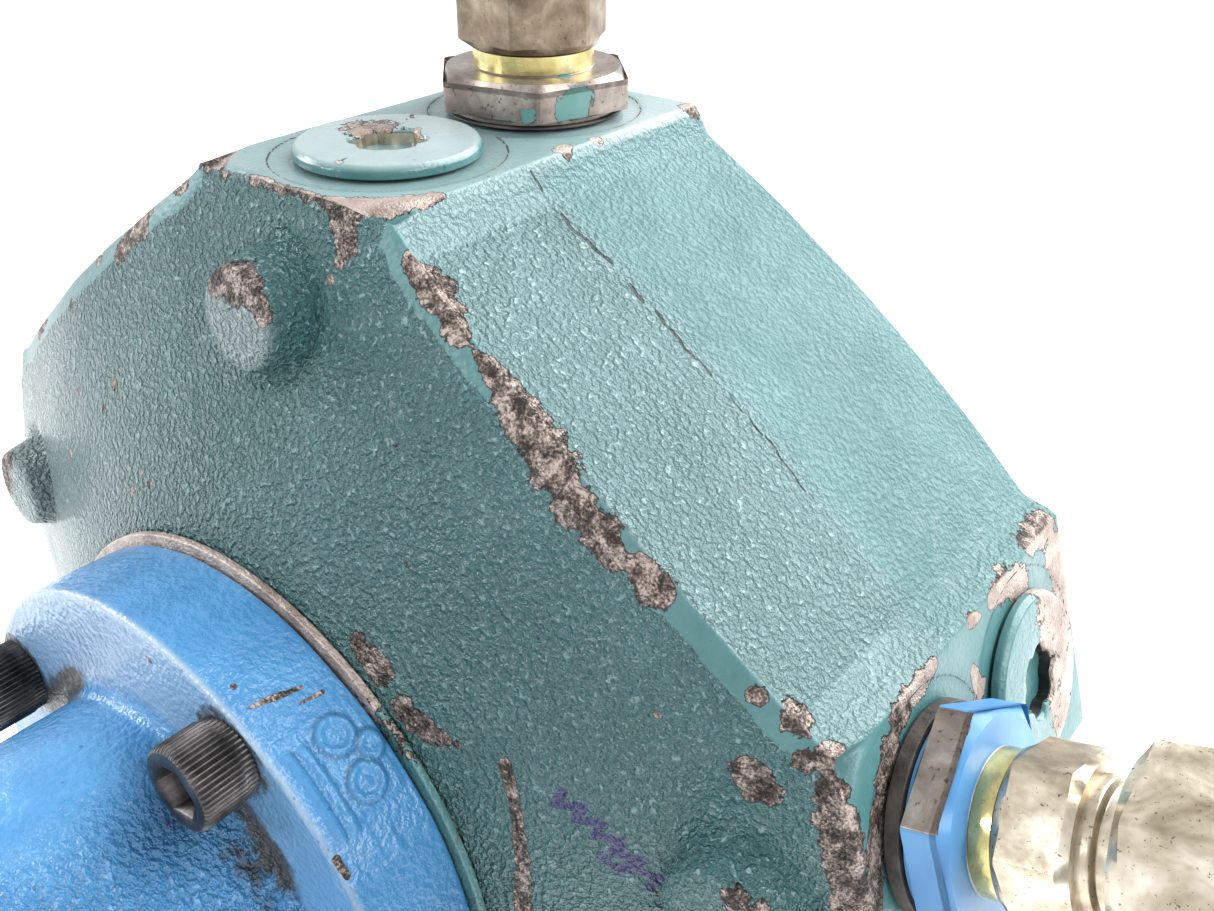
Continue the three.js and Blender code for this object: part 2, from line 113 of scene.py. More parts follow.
def ramp(x, low, high):
    return np.clip((x - low) / (high - low), 0.0, 1.0)


def soft(x, low, high):
    t = ramp(x, low, high)
    return t * t * (3 - 2 * t)


def near_angle(a, degrees):
    """Angle a measured from a direction in degrees, between -pi and pi."""
    return np.mod(a - radians(degrees) + pi, 2 * pi) - pi


# ---- frames of the pieces: local h runs along the piece's own axis ---------------
def place_output(points):
    return points + np.array([0, 0, AXIS_Z])


def place_input(points):
    x, h, z = points.T
    return np.stack([x, z, AXIS_Z - h], 1)


def place_pad(angle, row):
    tilt = radians(90 - angle)

    def place(points):
        x, h, z = points.T
        across = x * cos(tilt) + h * sin(tilt)
        up = h * cos(tilt) - x * sin(tilt)
        return np.stack([across, row - z, up + AXIS_Z], 1)
    return place


def around_axis(radius, degrees):
    a = radians(degrees)

    def place(points):
        return place_output(points + np.array([radius * cos(a), 0, radius * sin(a)]))
    return place


# ---- meshes ---------------------------------------------------------------------
def plain_object(name, points, faces):
    mesh = bpy.data.meshes.new(name)
    mesh.from_pydata((points * MM).tolist(), [], faces)
    mesh.shade_smooth()
    obj = bpy.data.objects.new(name, mesh)
    bpy.context.scene.collection.objects.link(obj)
    return obj


def make_object(name, points, faces, slot, replaces=(), sharp=38, material=None):
    """A cleaned mesh that rides on the casing, in the slot's own finish if no other is given."""
    obj = plain_object(name, points, faces)
    mesh = obj.data
    mesh.validate()
    tidy = bmesh.new()
    tidy.from_mesh(mesh)
    bmesh.ops.remove_doubles(tidy, verts=tidy.verts, dist=2e-6)
    bmesh.ops.recalc_face_normals(tidy, faces=tidy.faces)
    tidy.to_mesh(mesh)
    tidy.free()
    mesh.shade_smooth()
    if sharp:
        mesh.set_sharp_from_angle(angle=radians(sharp))
    mesh.materials.append(material or FINISH[slot])
    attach(obj, "casing")
    if replaces:
        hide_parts(*replaces)
    return obj


def rounded(profile, radius, steps=4):
    """The [r, h] profile with each inner corner turned into a small arc."""
    made = [profile[0]]
    for before, corner, after in zip(profile, profile[1:], profile[2:]):
        p, c, n = (np.array(v, float) for v in (before, corner, after))
        reach = min(radius, 0.45 * np.linalg.norm(c - p), 0.45 * np.linalg.norm(n - c))
        start = c + (p - c) / max(np.linalg.norm(p - c), 1e-9) * reach
        end = c + (n - c) / max(np.linalg.norm(n - c), 1e-9) * reach
        for k in range(steps + 1):
            t = k / steps
            made.append(tuple((1 - t) ** 2 * start + 2 * t * (1 - t) * c + t * t * end))
    made.append(profile[-1])
    return made


def hex_limit(across_flats, turn=0.0, corner=0.35):
    """Largest radius at each angle of a hexagon whose corners lie at turn + 60 k degrees."""
    def limit(a):
        w = np.mod(a - turn, pi / 3) - pi / 6
        return np.minimum(across_flats / 2 / np.cos(w), across_flats / sqrt(3) - corner)
    return limit


def grid_faces(rows, columns, loop=False, order=(0, 1, 2, 3)):
    """Quads of a closed band of points. With loop, the last row meets the first."""
    faces = []
    for i in range(rows if loop else rows - 1):
        j = (i + 1) % rows
        for k in range(columns):
            n = (k + 1) % columns
            quad = (i * columns + k, i * columns + n, j * columns + n, j * columns + k)
            faces.append([quad[corner] for corner in order])
    return faces


def revolve(profile, segments, limit=None, socket=None):
    """Points and faces of a turned body. Profile entries are (r, h), or (share, h, "socket")."""
    angles = np.arange(segments) * 2 * pi / segments
    rows = []
    for entry in profile:
        r, h = entry[0], entry[1]
        if len(entry) > 2:
            radius = r * socket(angles)
        else:
            radius = np.full(segments, float(r))
            if limit is not None:
                radius = np.minimum(radius, limit(angles))
        rows.append(np.stack([radius * np.sin(angles), np.full(segments, float(h)),
                              radius * np.cos(angles)], 1))
    points = np.concatenate(rows)
    faces = grid_faces(len(rows), segments)
    if np.abs(rows[0] - rows[-1]).max() > 1e-6:
        faces.append(list(reversed(range(segments))))
        faces.append(list(range(len(points) - segments, len(points))))
    return points, faces


def turned(name, profile, place, slot, replaces=(), segments=96, limit=None, socket=None,
           sharp=38, material=None):
    points, faces = revolve(profile, segments, limit, socket)
    return make_object(name, place(points), faces, slot, replaces, sharp, material)


def field(obj, name, values):
    """Writes one number per vertex, or the same number to all of them."""
    count = len(obj.data.vertices)
    attribute = obj.data.attributes.new(name, "FLOAT", "POINT")
    attribute.data.foreach_set("value", np.broadcast_to(np.ravel(values), count).astype(np.float32))


def vertices_mm(obj):
    co = np.zeros(len(obj.data.vertices) * 3, np.float32)
    obj.data.vertices.foreach_get("co", co)
    return co.reshape(-1, 3).astype(float) / MM


def axis_points(obj):
    """The object's points in millimetres from the output axis."""
    return vertices_mm(obj) - np.array([0, 0, AXIS_Z])


def spots(points, chains):
    """1 in the middle of a chain of balls, 0.5 on its rim, 0 one radius outside it."""
    best = np.zeros(len(points))
    for chain in chains:
        for (c0, r0), (c1, r1) in zip(chain, chain[1:] or chain):
            count = max(2, int(np.linalg.norm(np.subtract(c1, c0)) / max(0.6 * min(r0, r1), 0.4)))
            for t in np.linspace(0, 1, count):
                centre = (1 - t) * np.array(c0) + t * np.array(c1)
                radius = (1 - t) * r0 + t * r1
                near = np.abs(points[:, 0] - centre[0]) < 2 * radius
                d = np.linalg.norm(points[near] - centre, axis=1)
                best[near] = np.maximum(best[near], np.clip(1 - 0.5 * d / radius, 0, 1))
    return best


# ---- materials ------------------------------------------------------------------
class Nodes:
    """A small helper that adds and links the nodes of one material."""

    def __init__(self, name):
        self.material = bpy.data.materials.new(name)
        self.material.use_nodes = True
        self.tree = self.material.node_tree
        self.shader = self.tree.nodes["Principled BSDF"]
        self.place = self.add("ShaderNodeTexCoord").outputs["Object"]

    def add(self, kind, inputs=None, **settings):
        node = self.tree.nodes.new(kind)
        for key, value in settings.items():
            setattr(node, key, value)
        for key, value in (inputs or {}).items():
            self.feed(node.inputs[key], value)
        return node

    def feed(self, socket, value):
        if isinstance(value, bpy.types.NodeSocket):
            self.tree.links.new(value, socket)
        else:
            socket.default_value = value

    def math(self, operation, a, b, clamp=False):
        node = self.add("ShaderNodeMath", {0: a, 1: b}, operation=operation, use_clamp=clamp)
        return node.outputs[0]

    def plus(self, a, b):
        return self.math("ADD", a, b)

    def minus(self, a, b):
        return self.math("SUBTRACT", a, b)

    def times(self, a, b, clamp=False):
        return self.math("MULTIPLY", a, b, clamp)

    def swing(self, value, size):
        """A value from 0 to 1, moved to swing round 0."""
        return self.times(self.minus(value, 0.5), size)

    def noise(self, scale, detail=2.0, rough=0.5, stretch=None, distortion=0.0):
        place = self.place
        if stretch:
            place = self.add("ShaderNodeMapping", {"Vector": place, "Scale": stretch}).outputs[0]
        return self.add("ShaderNodeTexNoise", {
            "Vector": place, "Scale": scale, "Detail": detail, "Roughness": rough,
            "Distortion": distortion}).outputs["Fac"]

    def attribute(self, name):
        return self.add("ShaderNodeAttribute", attribute_name=name).outputs["Fac"]

    def curve(self, value, *stops):
        """A colour from a value, by (value, colour) stops."""
        node = self.add("ShaderNodeValToRGB", {"Fac": value})
        elements = node.color_ramp.elements
        for element, (at, colour) in zip(elements, stops):
            element.position = at
            element.color = (*colour, 1)
        for at, colour in stops[len(elements):]:
            elements.new(at).color = (*colour, 1)
        return node.outputs["Color"]

    def step(self, value, low, high, start=0.0, end=1.0):
        """A soft change from start to end while the value goes from low to high."""
        return self.add("ShaderNodeMapRange", {
            "Value": value, "From Min": low, "From Max": high, "To Min": start,
            "To Max": end}, interpolation_type="SMOOTHSTEP").outputs["Result"]

    def mix(self, share, a, b):
        node = self.add("ShaderNodeMix", data_type="RGBA")
        self.feed(node.inputs[0], share)
        for socket, value in ((node.inputs[6], a), (node.inputs[7], b)):
            self.feed(socket, (*value, 1) if isinstance(value, tuple) else value)
        return node.outputs[2]

    def bump(self, height, distance, strength=1.0, normal=None):
        inputs = {"Distance": distance, "Strength": strength, "Height": height}
        if normal is not None:
            inputs["Normal"] = normal
        return self.add("ShaderNodeBump", inputs).outputs["Normal"]

    def finish(self, colour, roughness, metallic, normal=None):
        self.feed(self.shader.inputs["Base Color"], colour)
        self.feed(self.shader.inputs["Roughness"], roughness)
        self.feed(self.shader.inputs["Metallic"], metallic)
        if normal is not None:
            self.feed(self.shader.inputs["Normal"], normal)
        return self.material


BARE_EDGE = (0.03, 0.028, 0.026)
# painted highlight for the crests of the paint's grain
CREST_HIGHLIGHT = (0.44, 0.50, 0.51)
# painted sheen: a pale colour laid where light falls or reflects
SHEEN_COLOUR = (0.44, 0.49, 0.50)
# a crack's dark colour, also painted shade of the parting line's small step
CRACK_AND_SHADE = (0.02, 0.028, 0.028)
# dark blue of ink marks, also painted shade in the flange's hollows
INK_AND_SHADE = (0.035, 0.035, 0.13)
# colour of dirt, also laid as painted shade
DIRT_AND_SHADE_STOPS = [(0.4, (0.012, 0.011, 0.009)), (0.7, (0.09, 0.07, 0.045))]
FLAT_METAL = [(0.35, (0.27, 0.21, 0.18)), (0.65, (0.50, 0.43, 0.39))]


def darker(colour, share):
    return tuple(share * c for c in colour)


def enamel(n, deep, light, pale, broad, medium, grit, texture):
    """Clouded paint with painted shade in the hollows of its grain, painted highlights on its crests, painted
    sheen, painted shade and pits.
    """
    clouds = n.plus(n.times(broad, 0.65), n.times(medium, 0.35))
    paint = n.curve(clouds, (0.36, deep), (0.62, light))
    paint = n.mix(n.step(n.noise(60, 4.0, 0.7), 0.56, 0.74, 0, 0.35), paint, pale)
    # painted shade in the grain's hollows, painted highlights on its crests
    hollow_shade = n.times(n.step(grit, 0.46, 0.34), texture)
    paint = n.mix(n.times(hollow_shade, 0.34), paint, darker(deep, 0.4))
    crest_highlight = n.times(n.step(grit, 0.59, 0.67), texture)
    paint = n.mix(n.times(crest_highlight, 0.15), paint, CREST_HIGHLIGHT)
    # painted sheen of light
    painted_sheen = n.times(n.attribute("painted_sheen"), n.step(broad, 0.2, 0.6, 0.75, 1))
    paint = n.mix(painted_sheen, paint, SHEEN_COLOUR)
    # painted shade
    painted_shade = n.times(n.attribute("painted_shade"), n.step(medium, 0.25, 0.55, 0.7, 1))
    paint = n.mix(painted_shade, paint, darker(deep, 0.45))
    pits = n.step(n.noise(520, 1.0), 0.27, 0.20)
    return n.mix(n.times(pits, 0.55), paint, darker(deep, 0.35))


def bare_metal(n, edge_metal, ragged, fine, medium):
    """Rusty metal under the chips, smoother where the casting was machined."""
    blotch = n.plus(n.times(ragged, 0.6), n.times(fine, 0.4))
    rough = n.curve(blotch, *zip((0.42, 0.50, 0.60), edge_metal))
    return n.mix(n.attribute("machined"), rough, n.curve(medium, *FLAT_METAL))


def casting_relief(n, texture, grit, fine, bare, edge, crack_and_shade):
    """The grain, broad waves, the metal's own grain, the film's edge and the cracks."""
    height = n.plus(n.step(grit, 0.28, 0.70), n.times(fine, 0.10))
    grains = n.bump(height, 0.0023, n.times(texture, 0.95, clamp=True))
    waves = n.bump(n.noise(75, 2.0), 0.0012, 0.35, grains)
    metal_grain = n.bump(fine, 0.0006, n.times(bare, 0.8), waves)
    film = n.bump(n.step(edge, 0.49, 0.52, 1, 0), 0.00045, 1.0, metal_grain)
    return n.bump(n.minus(1.0, crack_and_shade), 0.0005, 0.8, film)


def painted_casting(name, deep, light, pale, edge_metal, grain=800):
    """Machine enamel over a cast surface.

    Vertex fields, each 0 where a piece lacks it: chip, machined, smooth and matte; a painted sheen of light;
    painted shade; dirt together with painted shade; ink marks together with painted shade; cracks with painted
    shade of their small steps.
    """
    n = Nodes(name)
    broad = n.noise(28, 3.0, 0.6)
    medium = n.noise(120, 3.0, 0.6)
    ragged = n.noise(330, 3.0, 0.62, distortion=0.3)
    fine = n.noise(1900, 2.0, 0.6)
    grit = n.noise(grain, 2.0, 0.55, distortion=0.15)
    texture = n.minus(1.0, n.attribute("smooth"))
    jagged = n.swing(ragged, 0.62)
    edge = n.plus(n.attribute("chip"), n.plus(jagged, n.swing(n.noise(900, 1.0), 0.22)))
    bare = n.step(edge, 0.50, 0.515)
    rim = n.times(n.step(edge, 0.475, 0.505), n.step(edge, 0.565, 0.515))
    # a dark crack line, with painted shade of the small step beside it
    crack_and_shade = n.step(n.plus(n.attribute("crack_and_shade"), n.times(jagged, 0.5)), 0.58, 0.72)
    # ink marks, and painted shade in the hub's hollows
    ink_and_shade = n.step(n.plus(n.attribute("ink_and_shade"), n.swing(grit, 0.5)), 0.52, 0.64, 0, 0.92)
    # dirt, and painted shade on the flange and shim ring
    dirt_and_shade = n.plus(n.attribute("dirt_and_shade"), n.swing(n.noise(260, 4.0, 0.7), 0.8))
    dirt_and_shade = n.step(dirt_and_shade, 0.42, 0.72, 0, 0.92)
    paint = enamel(n, deep, light, pale, broad, medium, grit, texture)
    colour = n.mix(bare, paint, bare_metal(n, edge_metal, ragged, fine, medium))
    colour = n.mix(rim, colour, BARE_EDGE)
    colour = n.mix(n.times(crack_and_shade, 0.9), colour, CRACK_AND_SHADE)
    colour = n.mix(ink_and_shade, colour, INK_AND_SHADE)
    colour = n.mix(dirt_and_shade, colour, n.curve(fine, *DIRT_AND_SHADE_STOPS))
    gloss = n.plus(0.16, n.times(n.noise(45, 3.0), 0.16))
    for part, share in ((n.attribute("matte"), 0.40), (crack_and_shade, 0.35), (bare, 0.18), (dirt_and_shade, 0.15)):
        gloss = n.plus(gloss, n.times(part, share))
    normal = casting_relief(n, texture, grit, fine, bare, edge, crack_and_shade)
    return n.finish(colour, gloss, n.times(bare, 0.55), normal)


def worn_metal(name, dark, mid, bright, roughness, metallic=0.9, grain=90, brushed=None,
               specks=0.3, speck_colour=(0.05, 0.035, 0.02)):
    """Plated or bare metal: clouded colour, specks and fine brushing."""
    n = Nodes(name)
    cloud = n.noise(grain, 4.0, 0.65, distortion=0.4)
    colour = n.curve(cloud, (0.32, dark), (0.5, mid), (0.68, bright))
    specked = n.times(n.step(n.noise(1300, 2.0, 0.6), 0.64, 0.70), specks)
    colour = n.mix(specked, colour, speck_colour)
    lines = n.noise(800, 1.0, stretch=brushed or (1, 1, 0.08))
    normal = n.bump(lines, 0.0002, 0.18)
    normal = n.bump(n.noise(240, 3.0, 0.6), 0.0004, 0.16, normal)
    rough = n.plus(roughness - 0.08, n.times(cloud, 0.2))
    return n.finish(colour, rough, metallic, normal)


def plain_soft(name, dark, light, roughness, grain=900, bump=0.3):
    n = Nodes(name)
    grit = n.noise(grain, 3.0, 0.6)
    colour = n.curve(n.noise(140, 3.0), (0.35, dark), (0.65, light))
    return n.finish(colour, roughness, 0.0, n.bump(grit, 0.0004, bump))


RUSTY = [(0.022, 0.016, 0.014), (0.120, 0.092, 0.079), (0.40, 0.335, 0.305)]
TEAL = painted_casting("teal_enamel", (0.037, 0.122, 0.126), (0.066, 0.168, 0.176),
                       (0.13, 0.19, 0.20), RUSTY)
BLUE = painted_casting("blue_enamel", (0.036, 0.165, 0.365), (0.064, 0.240, 0.470),
                       (0.17, 0.28, 0.38), RUSTY, grain=620)
STEEL = worn_metal("worn_steel", (0.20, 0.165, 0.15), (0.34, 0.29, 0.265), (0.52, 0.47, 0.44),
                   0.42)
MACHINED = worn_metal("machined_steel", (0.27, 0.26, 0.25), (0.39, 0.38, 0.37),
                      (0.52, 0.51, 0.50), 0.34)
ZINC = worn_metal("yellow_zinc", (0.24, 0.19, 0.13), (0.52, 0.46, 0.36), (0.85, 0.81, 0.72), 0.30,
                  grain=62, specks=0.7)
# a darker copy of the yellow zinc: painted shade on the top fitting
SHADED_ZINC = worn_metal("shaded_zinc", (0.10, 0.073, 0.050), (0.23, 0.180, 0.130), (0.42, 0.36, 0.28),
                       0.38, grain=80, specks=0.6)
BRIGHT_ZINC = worn_metal("neck_zinc", (0.38, 0.31, 0.12), (0.64, 0.56, 0.25),
                         (0.86, 0.82, 0.58), 0.22, grain=60)
OXIDE = worn_metal("black_oxide", (0.030, 0.029, 0.030), (0.068, 0.065, 0.066), (0.15, 0.142, 0.140),
                   0.36, metallic=0.85, grain=120, brushed=(1, 1, 1), speck_colour=(0.22, 0.15, 0.09))
GEAR = worn_metal("gear_steel", (0.30, 0.30, 0.31), (0.42, 0.42, 0.43), (0.55, 0.55, 0.56), 0.3)
BRASS = worn_metal("cage_brass", (0.45, 0.31, 0.10), (0.62, 0.46, 0.18), (0.75, 0.60, 0.30), 0.3)
RUBBER = plain_soft("seal_rubber", (0.014, 0.012, 0.011), (0.075, 0.062, 0.052), 0.6, grain=500,
                    bump=0.8)
GASKET = plain_soft("gasket_board", (0.33, 0.27, 0.22), (0.62, 0.55, 0.47), 0.85, grain=700, bump=0.5)

FINISH = {
    "teal_paint": TEAL, "blue_paint": BLUE, "bare_steel": MACHINED, "zinc_plate": ZINC,
    "black_oxide": OXIDE, "seal_rubber": RUBBER, "gasket_board": GASKET,
    "bearing_steel": MACHINED, "gear_steel": GEAR, "cage_brass": BRASS,
}


def finish_cad_nodes():
    for entry in frame["record"]["subparts"]:
        node = frame["nodes"][entry["node"]]
        node.data.materials.clear()
        node.data.materials.append(FINISH[entry["material_slot"]])


# ---- housing --------------------------------------------------------------------
def sector_angles():
    """Angles round the output axis, with their places across a pad or a facet."""
    across_pad = np.arctan(np.linspace(-PAD_HALF, PAD_HALF, 85)[:-1] / PAD_PLANE)
    foot = CHORD_HALF - WALL - 2.5
    steps = np.concatenate([np.linspace(-CHORD_HALF, -foot, 13)[:-1],
                            np.linspace(-foot, foot, 101)[:-1],
                            np.linspace(foot, CHORD_HALF, 13)[:-1]])
    across_facet = np.arctan(steps / CHORD)
    angles, pad, s = [], [], []
    for k in range(5):
        centre = radians(18 + 72 * k)
        angles += list(centre + across_pad)
        pad += [True] * len(across_pad)
        s += list(PAD_PLANE * np.tan(across_pad))
        angles += list(centre + SECTOR + across_facet)
        pad += [False] * len(across_facet)
        s += list(CHORD * np.tan(across_facet))
    return np.array(angles), np.array(pad), np.array(s)


def pad_drop(s, y, edge_y):
    """How far the surface lies below a pad's plane: spotfaces, and the rounded front corners."""
    nearest = np.minimum(np.hypot(s, y - PORT_ROW), np.hypot(s, y + PORT_ROW))
    spot = 0.45 * soft(nearest, SPOT_R + 0.35, SPOT_R - 0.35)
    corner = 13.0
    out_s = np.maximum(np.abs(s) - (PAD_HALF - corner), 0)
    out_y = np.maximum((edge_y + corner) - y, 0)
    beyond = np.maximum(np.hypot(out_s, out_y) - corner + 0.6, 0)
    return spot + 1.1 * beyond * (out_s > 0) * (out_y > 0)


def facet_drop(s, y):
    """How far a facet lies inside the line between its two pads: a soft valley, then a low crown."""
    valley = soft(CHORD_HALF - np.abs(s), 0.2, WALL)
    crown = np.maximum(1 - (s / 57) ** 2, 0)
    step = 0.25 * soft(y, PARTING_Y + 0.5, PARTING_Y - 0.5) * soft(s, -25, 30)
    return 2.9 * valley - 3.5 * crown + step * valley


def stub_relief(r, a, y):
    """Pulls the cone forward into the half-buried cast stubs, with a soft root."""
    for pad in PADS:
        d = near_angle(a, pad)
        reach = np.hypot(r * np.cos(d) - STUB_PITCH, r * np.sin(d))
        reach = np.where(np.abs(d) < 0.5, reach, 99.0)
        top = STUB_Y + 0.10 * (r - STUB_PITCH) + 0.7 * soft(reach, 6.5, STUB_R)
        right_side = soft(r * np.sin(d), 6, -4)
        y = y + 1.3 * np.exp(-((reach - STUB_R - 2.2) / 1.7) ** 2) * right_side
        y = y + np.minimum(top - y, 0) * soft(reach, STUB_R + 0.9, STUB_R - 0.5)
    return y


def housing_grid():
    """The casting's outer skin: rows run from the nose over the front, the sides and the rear."""
    a, pad, s = sector_angles()
    outline = np.where(pad, np.hypot(PAD_PLANE, s), np.hypot(CHORD, s))
    edge_y = cone_y(outline)
    rows = []

    def add(r, y):
        rows.append(np.stack([r * np.cos(a), y, r * np.sin(a)], 1))
    for r in (50.0, 60.0, NOSE_R - 0.8):
        add(np.full_like(a, r), np.full_like(a, NOSE_Y))
    set_back = np.where(pad, 0.0, 1.3 * soft(CHORD_HALF - np.abs(s), 0.0, 5.0))
    for u in np.linspace(0, 1, CONE_ROWS)[:-1]:
        r = NOSE_R + u * (outline - NOSE_R)
        chamfer = set_back * ramp(r, outline - CHAMFER, outline)
        add(r, stub_relief(r, a, cone_y(r)) + chamfer)
    edge_y = edge_y + set_back
    plane = np.where(pad, PAD_PLANE, CHORD)
    for u in np.linspace(0, 1, SIDE_ROWS):
        y = edge_y + u * (REAR_Y - edge_y)
        drop = np.where(pad, pad_drop(s, y, edge_y), facet_drop(s, y))
        add(outline * (plane - drop) / plane, y)
    last = np.hypot(rows[-1][:, 0], rows[-1][:, 2])
    for share, back in REAR_STEPS:
        add(last + share * (REAR_R - last), np.full_like(a, REAR_Y + back))
    add(np.full_like(a, 100.0), np.full_like(a, REAR_Y + REAR_STEPS[-1][1]))
    return np.stack(rows), a, pad, s


def soften(grid, rounds, weight):
    """Rounds every edge of the grid a little, as a sand casting has it."""
    for _ in range(rounds):
        mean = np.zeros_like(grid)
        mean[1:-1] = (grid[2:] + grid[:-2] + np.roll(grid, 1, 1)[1:-1]
                      + np.roll(grid, -1, 1)[1:-1]) / 4
        share = 0.5 * weight[1:-1, :, None]
        grid[1:-1] += share * (mean[1:-1] - grid[1:-1])
    return grid


def at_angle(degrees, out, across, y):
    """A point out mm along a direction round the output axis, and across mm beside it."""
    a = radians(degrees)
    return (out * cos(a) - across * sin(a), y, out * sin(a) + across * cos(a))


def ridge(facet, s, e):
    """A point on a facet's front ridge: e mm back from it, or with e below 0 down the cone."""
    r = hypot(CHORD, s)
    grow = (r + min(e, 0.0)) / r
    out = (CHORD - 0.9 * max(e, 0.0)) * grow
    return at_angle(facet, out, s * grow, cone_y(r * grow) + max(e, 0.0))


def on_cone(r, degrees):
    return at_angle(degrees, r, 0.0, cone_y(r))


def on_pad(pad, s, y, drop=0.0):
    return at_angle(pad, PAD_PLANE - drop, s, y)


def along(surface, *marks):
    """A chain of (point, radius). Each mark is the place on a surface, then the radius."""
    return [(surface(*place), radius) for *place, radius in marks]


def housing_chips():
    """Bare places of the casting, as chains of (point, radius)."""
    edge = partial(ridge, 54)
    top = partial(on_pad, 90)
    right = partial(on_pad, 18)
    chains = [
        # the long chips along the ridge of the upper right facet
        along(edge, (53, -1.2, 2.6), (47, 2.0, 4.2), (42, 1.0, 3.6), (37.5, -1.5, 2.8)),
        along(edge, (49, 5.5, 1.5), (45, 6.5, 1.2)),
        along(edge, (31.5, -1, 1.6), (26, -0.3, 3.0), (16, -1.2, 4.6), (7, -2.6, 4.8),
              (0, -4, 4.3), (-6.5, -3.2, 4.2), (-12, -4.6, 2.2)),
        along(edge, (-15.5, -2.2, 2.6), (-20.5, -2.6, 3.9)),
        along(edge, (-45.8, -2.6, 2.1)),
        along(edge, (-52, 2.4, 3.4), (-54.5, 0, 2.2)),
        # on the cone
        along(on_cone, (130.5, 29.2, 3.4), (131.5, 27.8, 3.6)),
        along(on_cone, (76.5, 60.5, 2.4), (76.2, 55.5, 3.2)),
        along(on_cone, (75.2, 49, 2.8), (77, 44.5, 2.8), (79.5, 42, 1.4)),
        along(on_cone, (88.0, 36.0, 1.5), (86.0, 31, 1.2), (82.5, 22, 1.6), (79.5, 14, 2.2)),
        # the top pad's front edge and its right front corner
        along(top, (24, -52, 3.2), (15, -52, 2.0), (6, -51.5, 2.2), (-3, -51.5, 2.0),
              (-11, -51.5, 2.4), (-17, -50, 3.4), (-22, -46, 3.6), (-25.5, -40, 2.6),
              (-26.5, -36, 1.8)),
        along(top, (-17, -51, 3, 3.6), (-19, -51.5, 8, 2.6), (-17, -52.5, 12, 1.6)),
        along(top, (26.5, -48, 1, 2.6), (27, -38, 1, 1.4)),
        along(top, (-26.6, 1, 0.5, 2.3), (-25.2, 4, 1.2)),
        along(top, (-26.9, 12, 0.5, 1.6)),
        along(top, (-27, 47, 1, 3.0)),
        # the right pad: its front corner, the strip round the fitting and the upper edge
        along(edge, (-60.5, -5, 2.6), (-60.8, 1.5, 2.4)),
        along(edge, (-61.5, 1, 1.6))
        + along(on_cone, (144.8, 28.2, 2.4), (142.8, 26.6, 3.6), (142.2, 24.4, 4.2),
                (141.6, 20.8, 4.2), (140.8, 17, 3.6), (139, 12, 3.0)),
        along(right, (25.4, -15, 0.5, 2.0), (24.6, -23, 3.0), (23.4, -29.5, 4.0), (20, -34, 4.4),
              (16.4, -37.5, 4.0), (11.5, -41.5, 3.6), (5, -45, 3.6), (-3, -47.5, 3.4)),
        along(right, (25.9, 2.5, 1.9), (24.8, 6, 1.0)),
        along(right, (25, 12, 2.0), (24.8, 20, 4.0), (21, 27, 4.2)),
        along(right, (27.5, 34, 0.3, 3.6), (27.5, 42.5, 0.3, 4.4), (20, 45, 5.2), (10, 47.5, 4.0),
              (2, 48, 2.6)),
        along(right, (10, 2, 3.2), (16, 0, 1.4)),
        along(edge, (-54.5, 27.5, 2.8)),
    ]
    chains += [[mark] for mark in along(on_cone, (131, 83, 1.1), (104, 120, 1.6), (133, 121, 2.6),
                                        (81, 41, 1.0), (120, 36, 0.9), (96, 62, 0.7), (112, 70, 0.6))]
    for pad in PADS:
        chains.append([(at_angle(pad, STUB_PITCH + 7.5, 0.0, STUB_Y + 1.2), 5.2)])
        arc = []
        for degrees in (-45, -15, 10, 35, 68):
            t = radians(degrees)
            out, across = STUB_CHIP_R * cos(t), STUB_CHIP_R * sin(t)
            arc.append((at_angle(pad, STUB_PITCH + out, -across, STUB_Y + 1.4),
                        3.7 - 0.022 * abs(degrees)))
        chains.append(arc)
    return chains + hidden_side_chips()


def hidden_side_chips():
    """The same kind of wear on the pads and ridges that face away, from a seeded draw."""
    draw = np.random.default_rng(SEED)
    chains = []
    for pad in (162, -54, -126):
        for _ in range(4):
            s = draw.uniform(-24, 24)
            chains.append([(on_pad(pad, s, -50.5), draw.uniform(1.2, 3.2)),
                           (on_pad(pad, s + draw.uniform(-7, 7), -50.5), draw.uniform(1.0, 2.6))])
        chains.append([(on_pad(pad, draw.choice([-26.8, 26.8]), draw.uniform(-40, 40), 0.5), 2.4)])
    for facet in (126, -18, -90, -162):
        for _ in range(5):
            s = draw.uniform(-55, 55)
            chains.append([(ridge(facet, s, draw.uniform(-3, 1)), draw.uniform(1.5, 3.8)),
                           (ridge(facet, s + draw.uniform(-11, 11), draw.uniform(-4, 1)),
                            draw.uniform(1.2, 3.4))])
    for _ in range(26):
        chains.append([(on_cone(draw.uniform(80, 134), draw.uniform(100, 370)),
                        draw.uniform(0.5, 1.7))])
    return chains


def skin_places(grid, pad, s):
    """Where each point of the skin lies: the masks and shares that its fields are built from."""
    rows = np.arange(len(grid))[:, None]
    x, y, z = np.moveaxis(grid, 2, 0)
    radius = np.hypot(x, z)
    front = rows < SIDE_START
    facet = ~pad[None, :]
    inside = radius[SIDE_START][None, :] - radius
    return SimpleNamespace(
        x=x, y=y, z=z, radius=radius, s=s[None, :], pad=pad[None, :], facet=facet, front=front,
        rear=rows >= REAR_START, behind=soft(y, PARTING_Y - 4, PARTING_Y + 8),
        bevel=(inside < CHAMFER) & front & facet,
        wall=(np.abs(s)[None, :] > CHORD_HALF - 8.5) & facet & ~front)


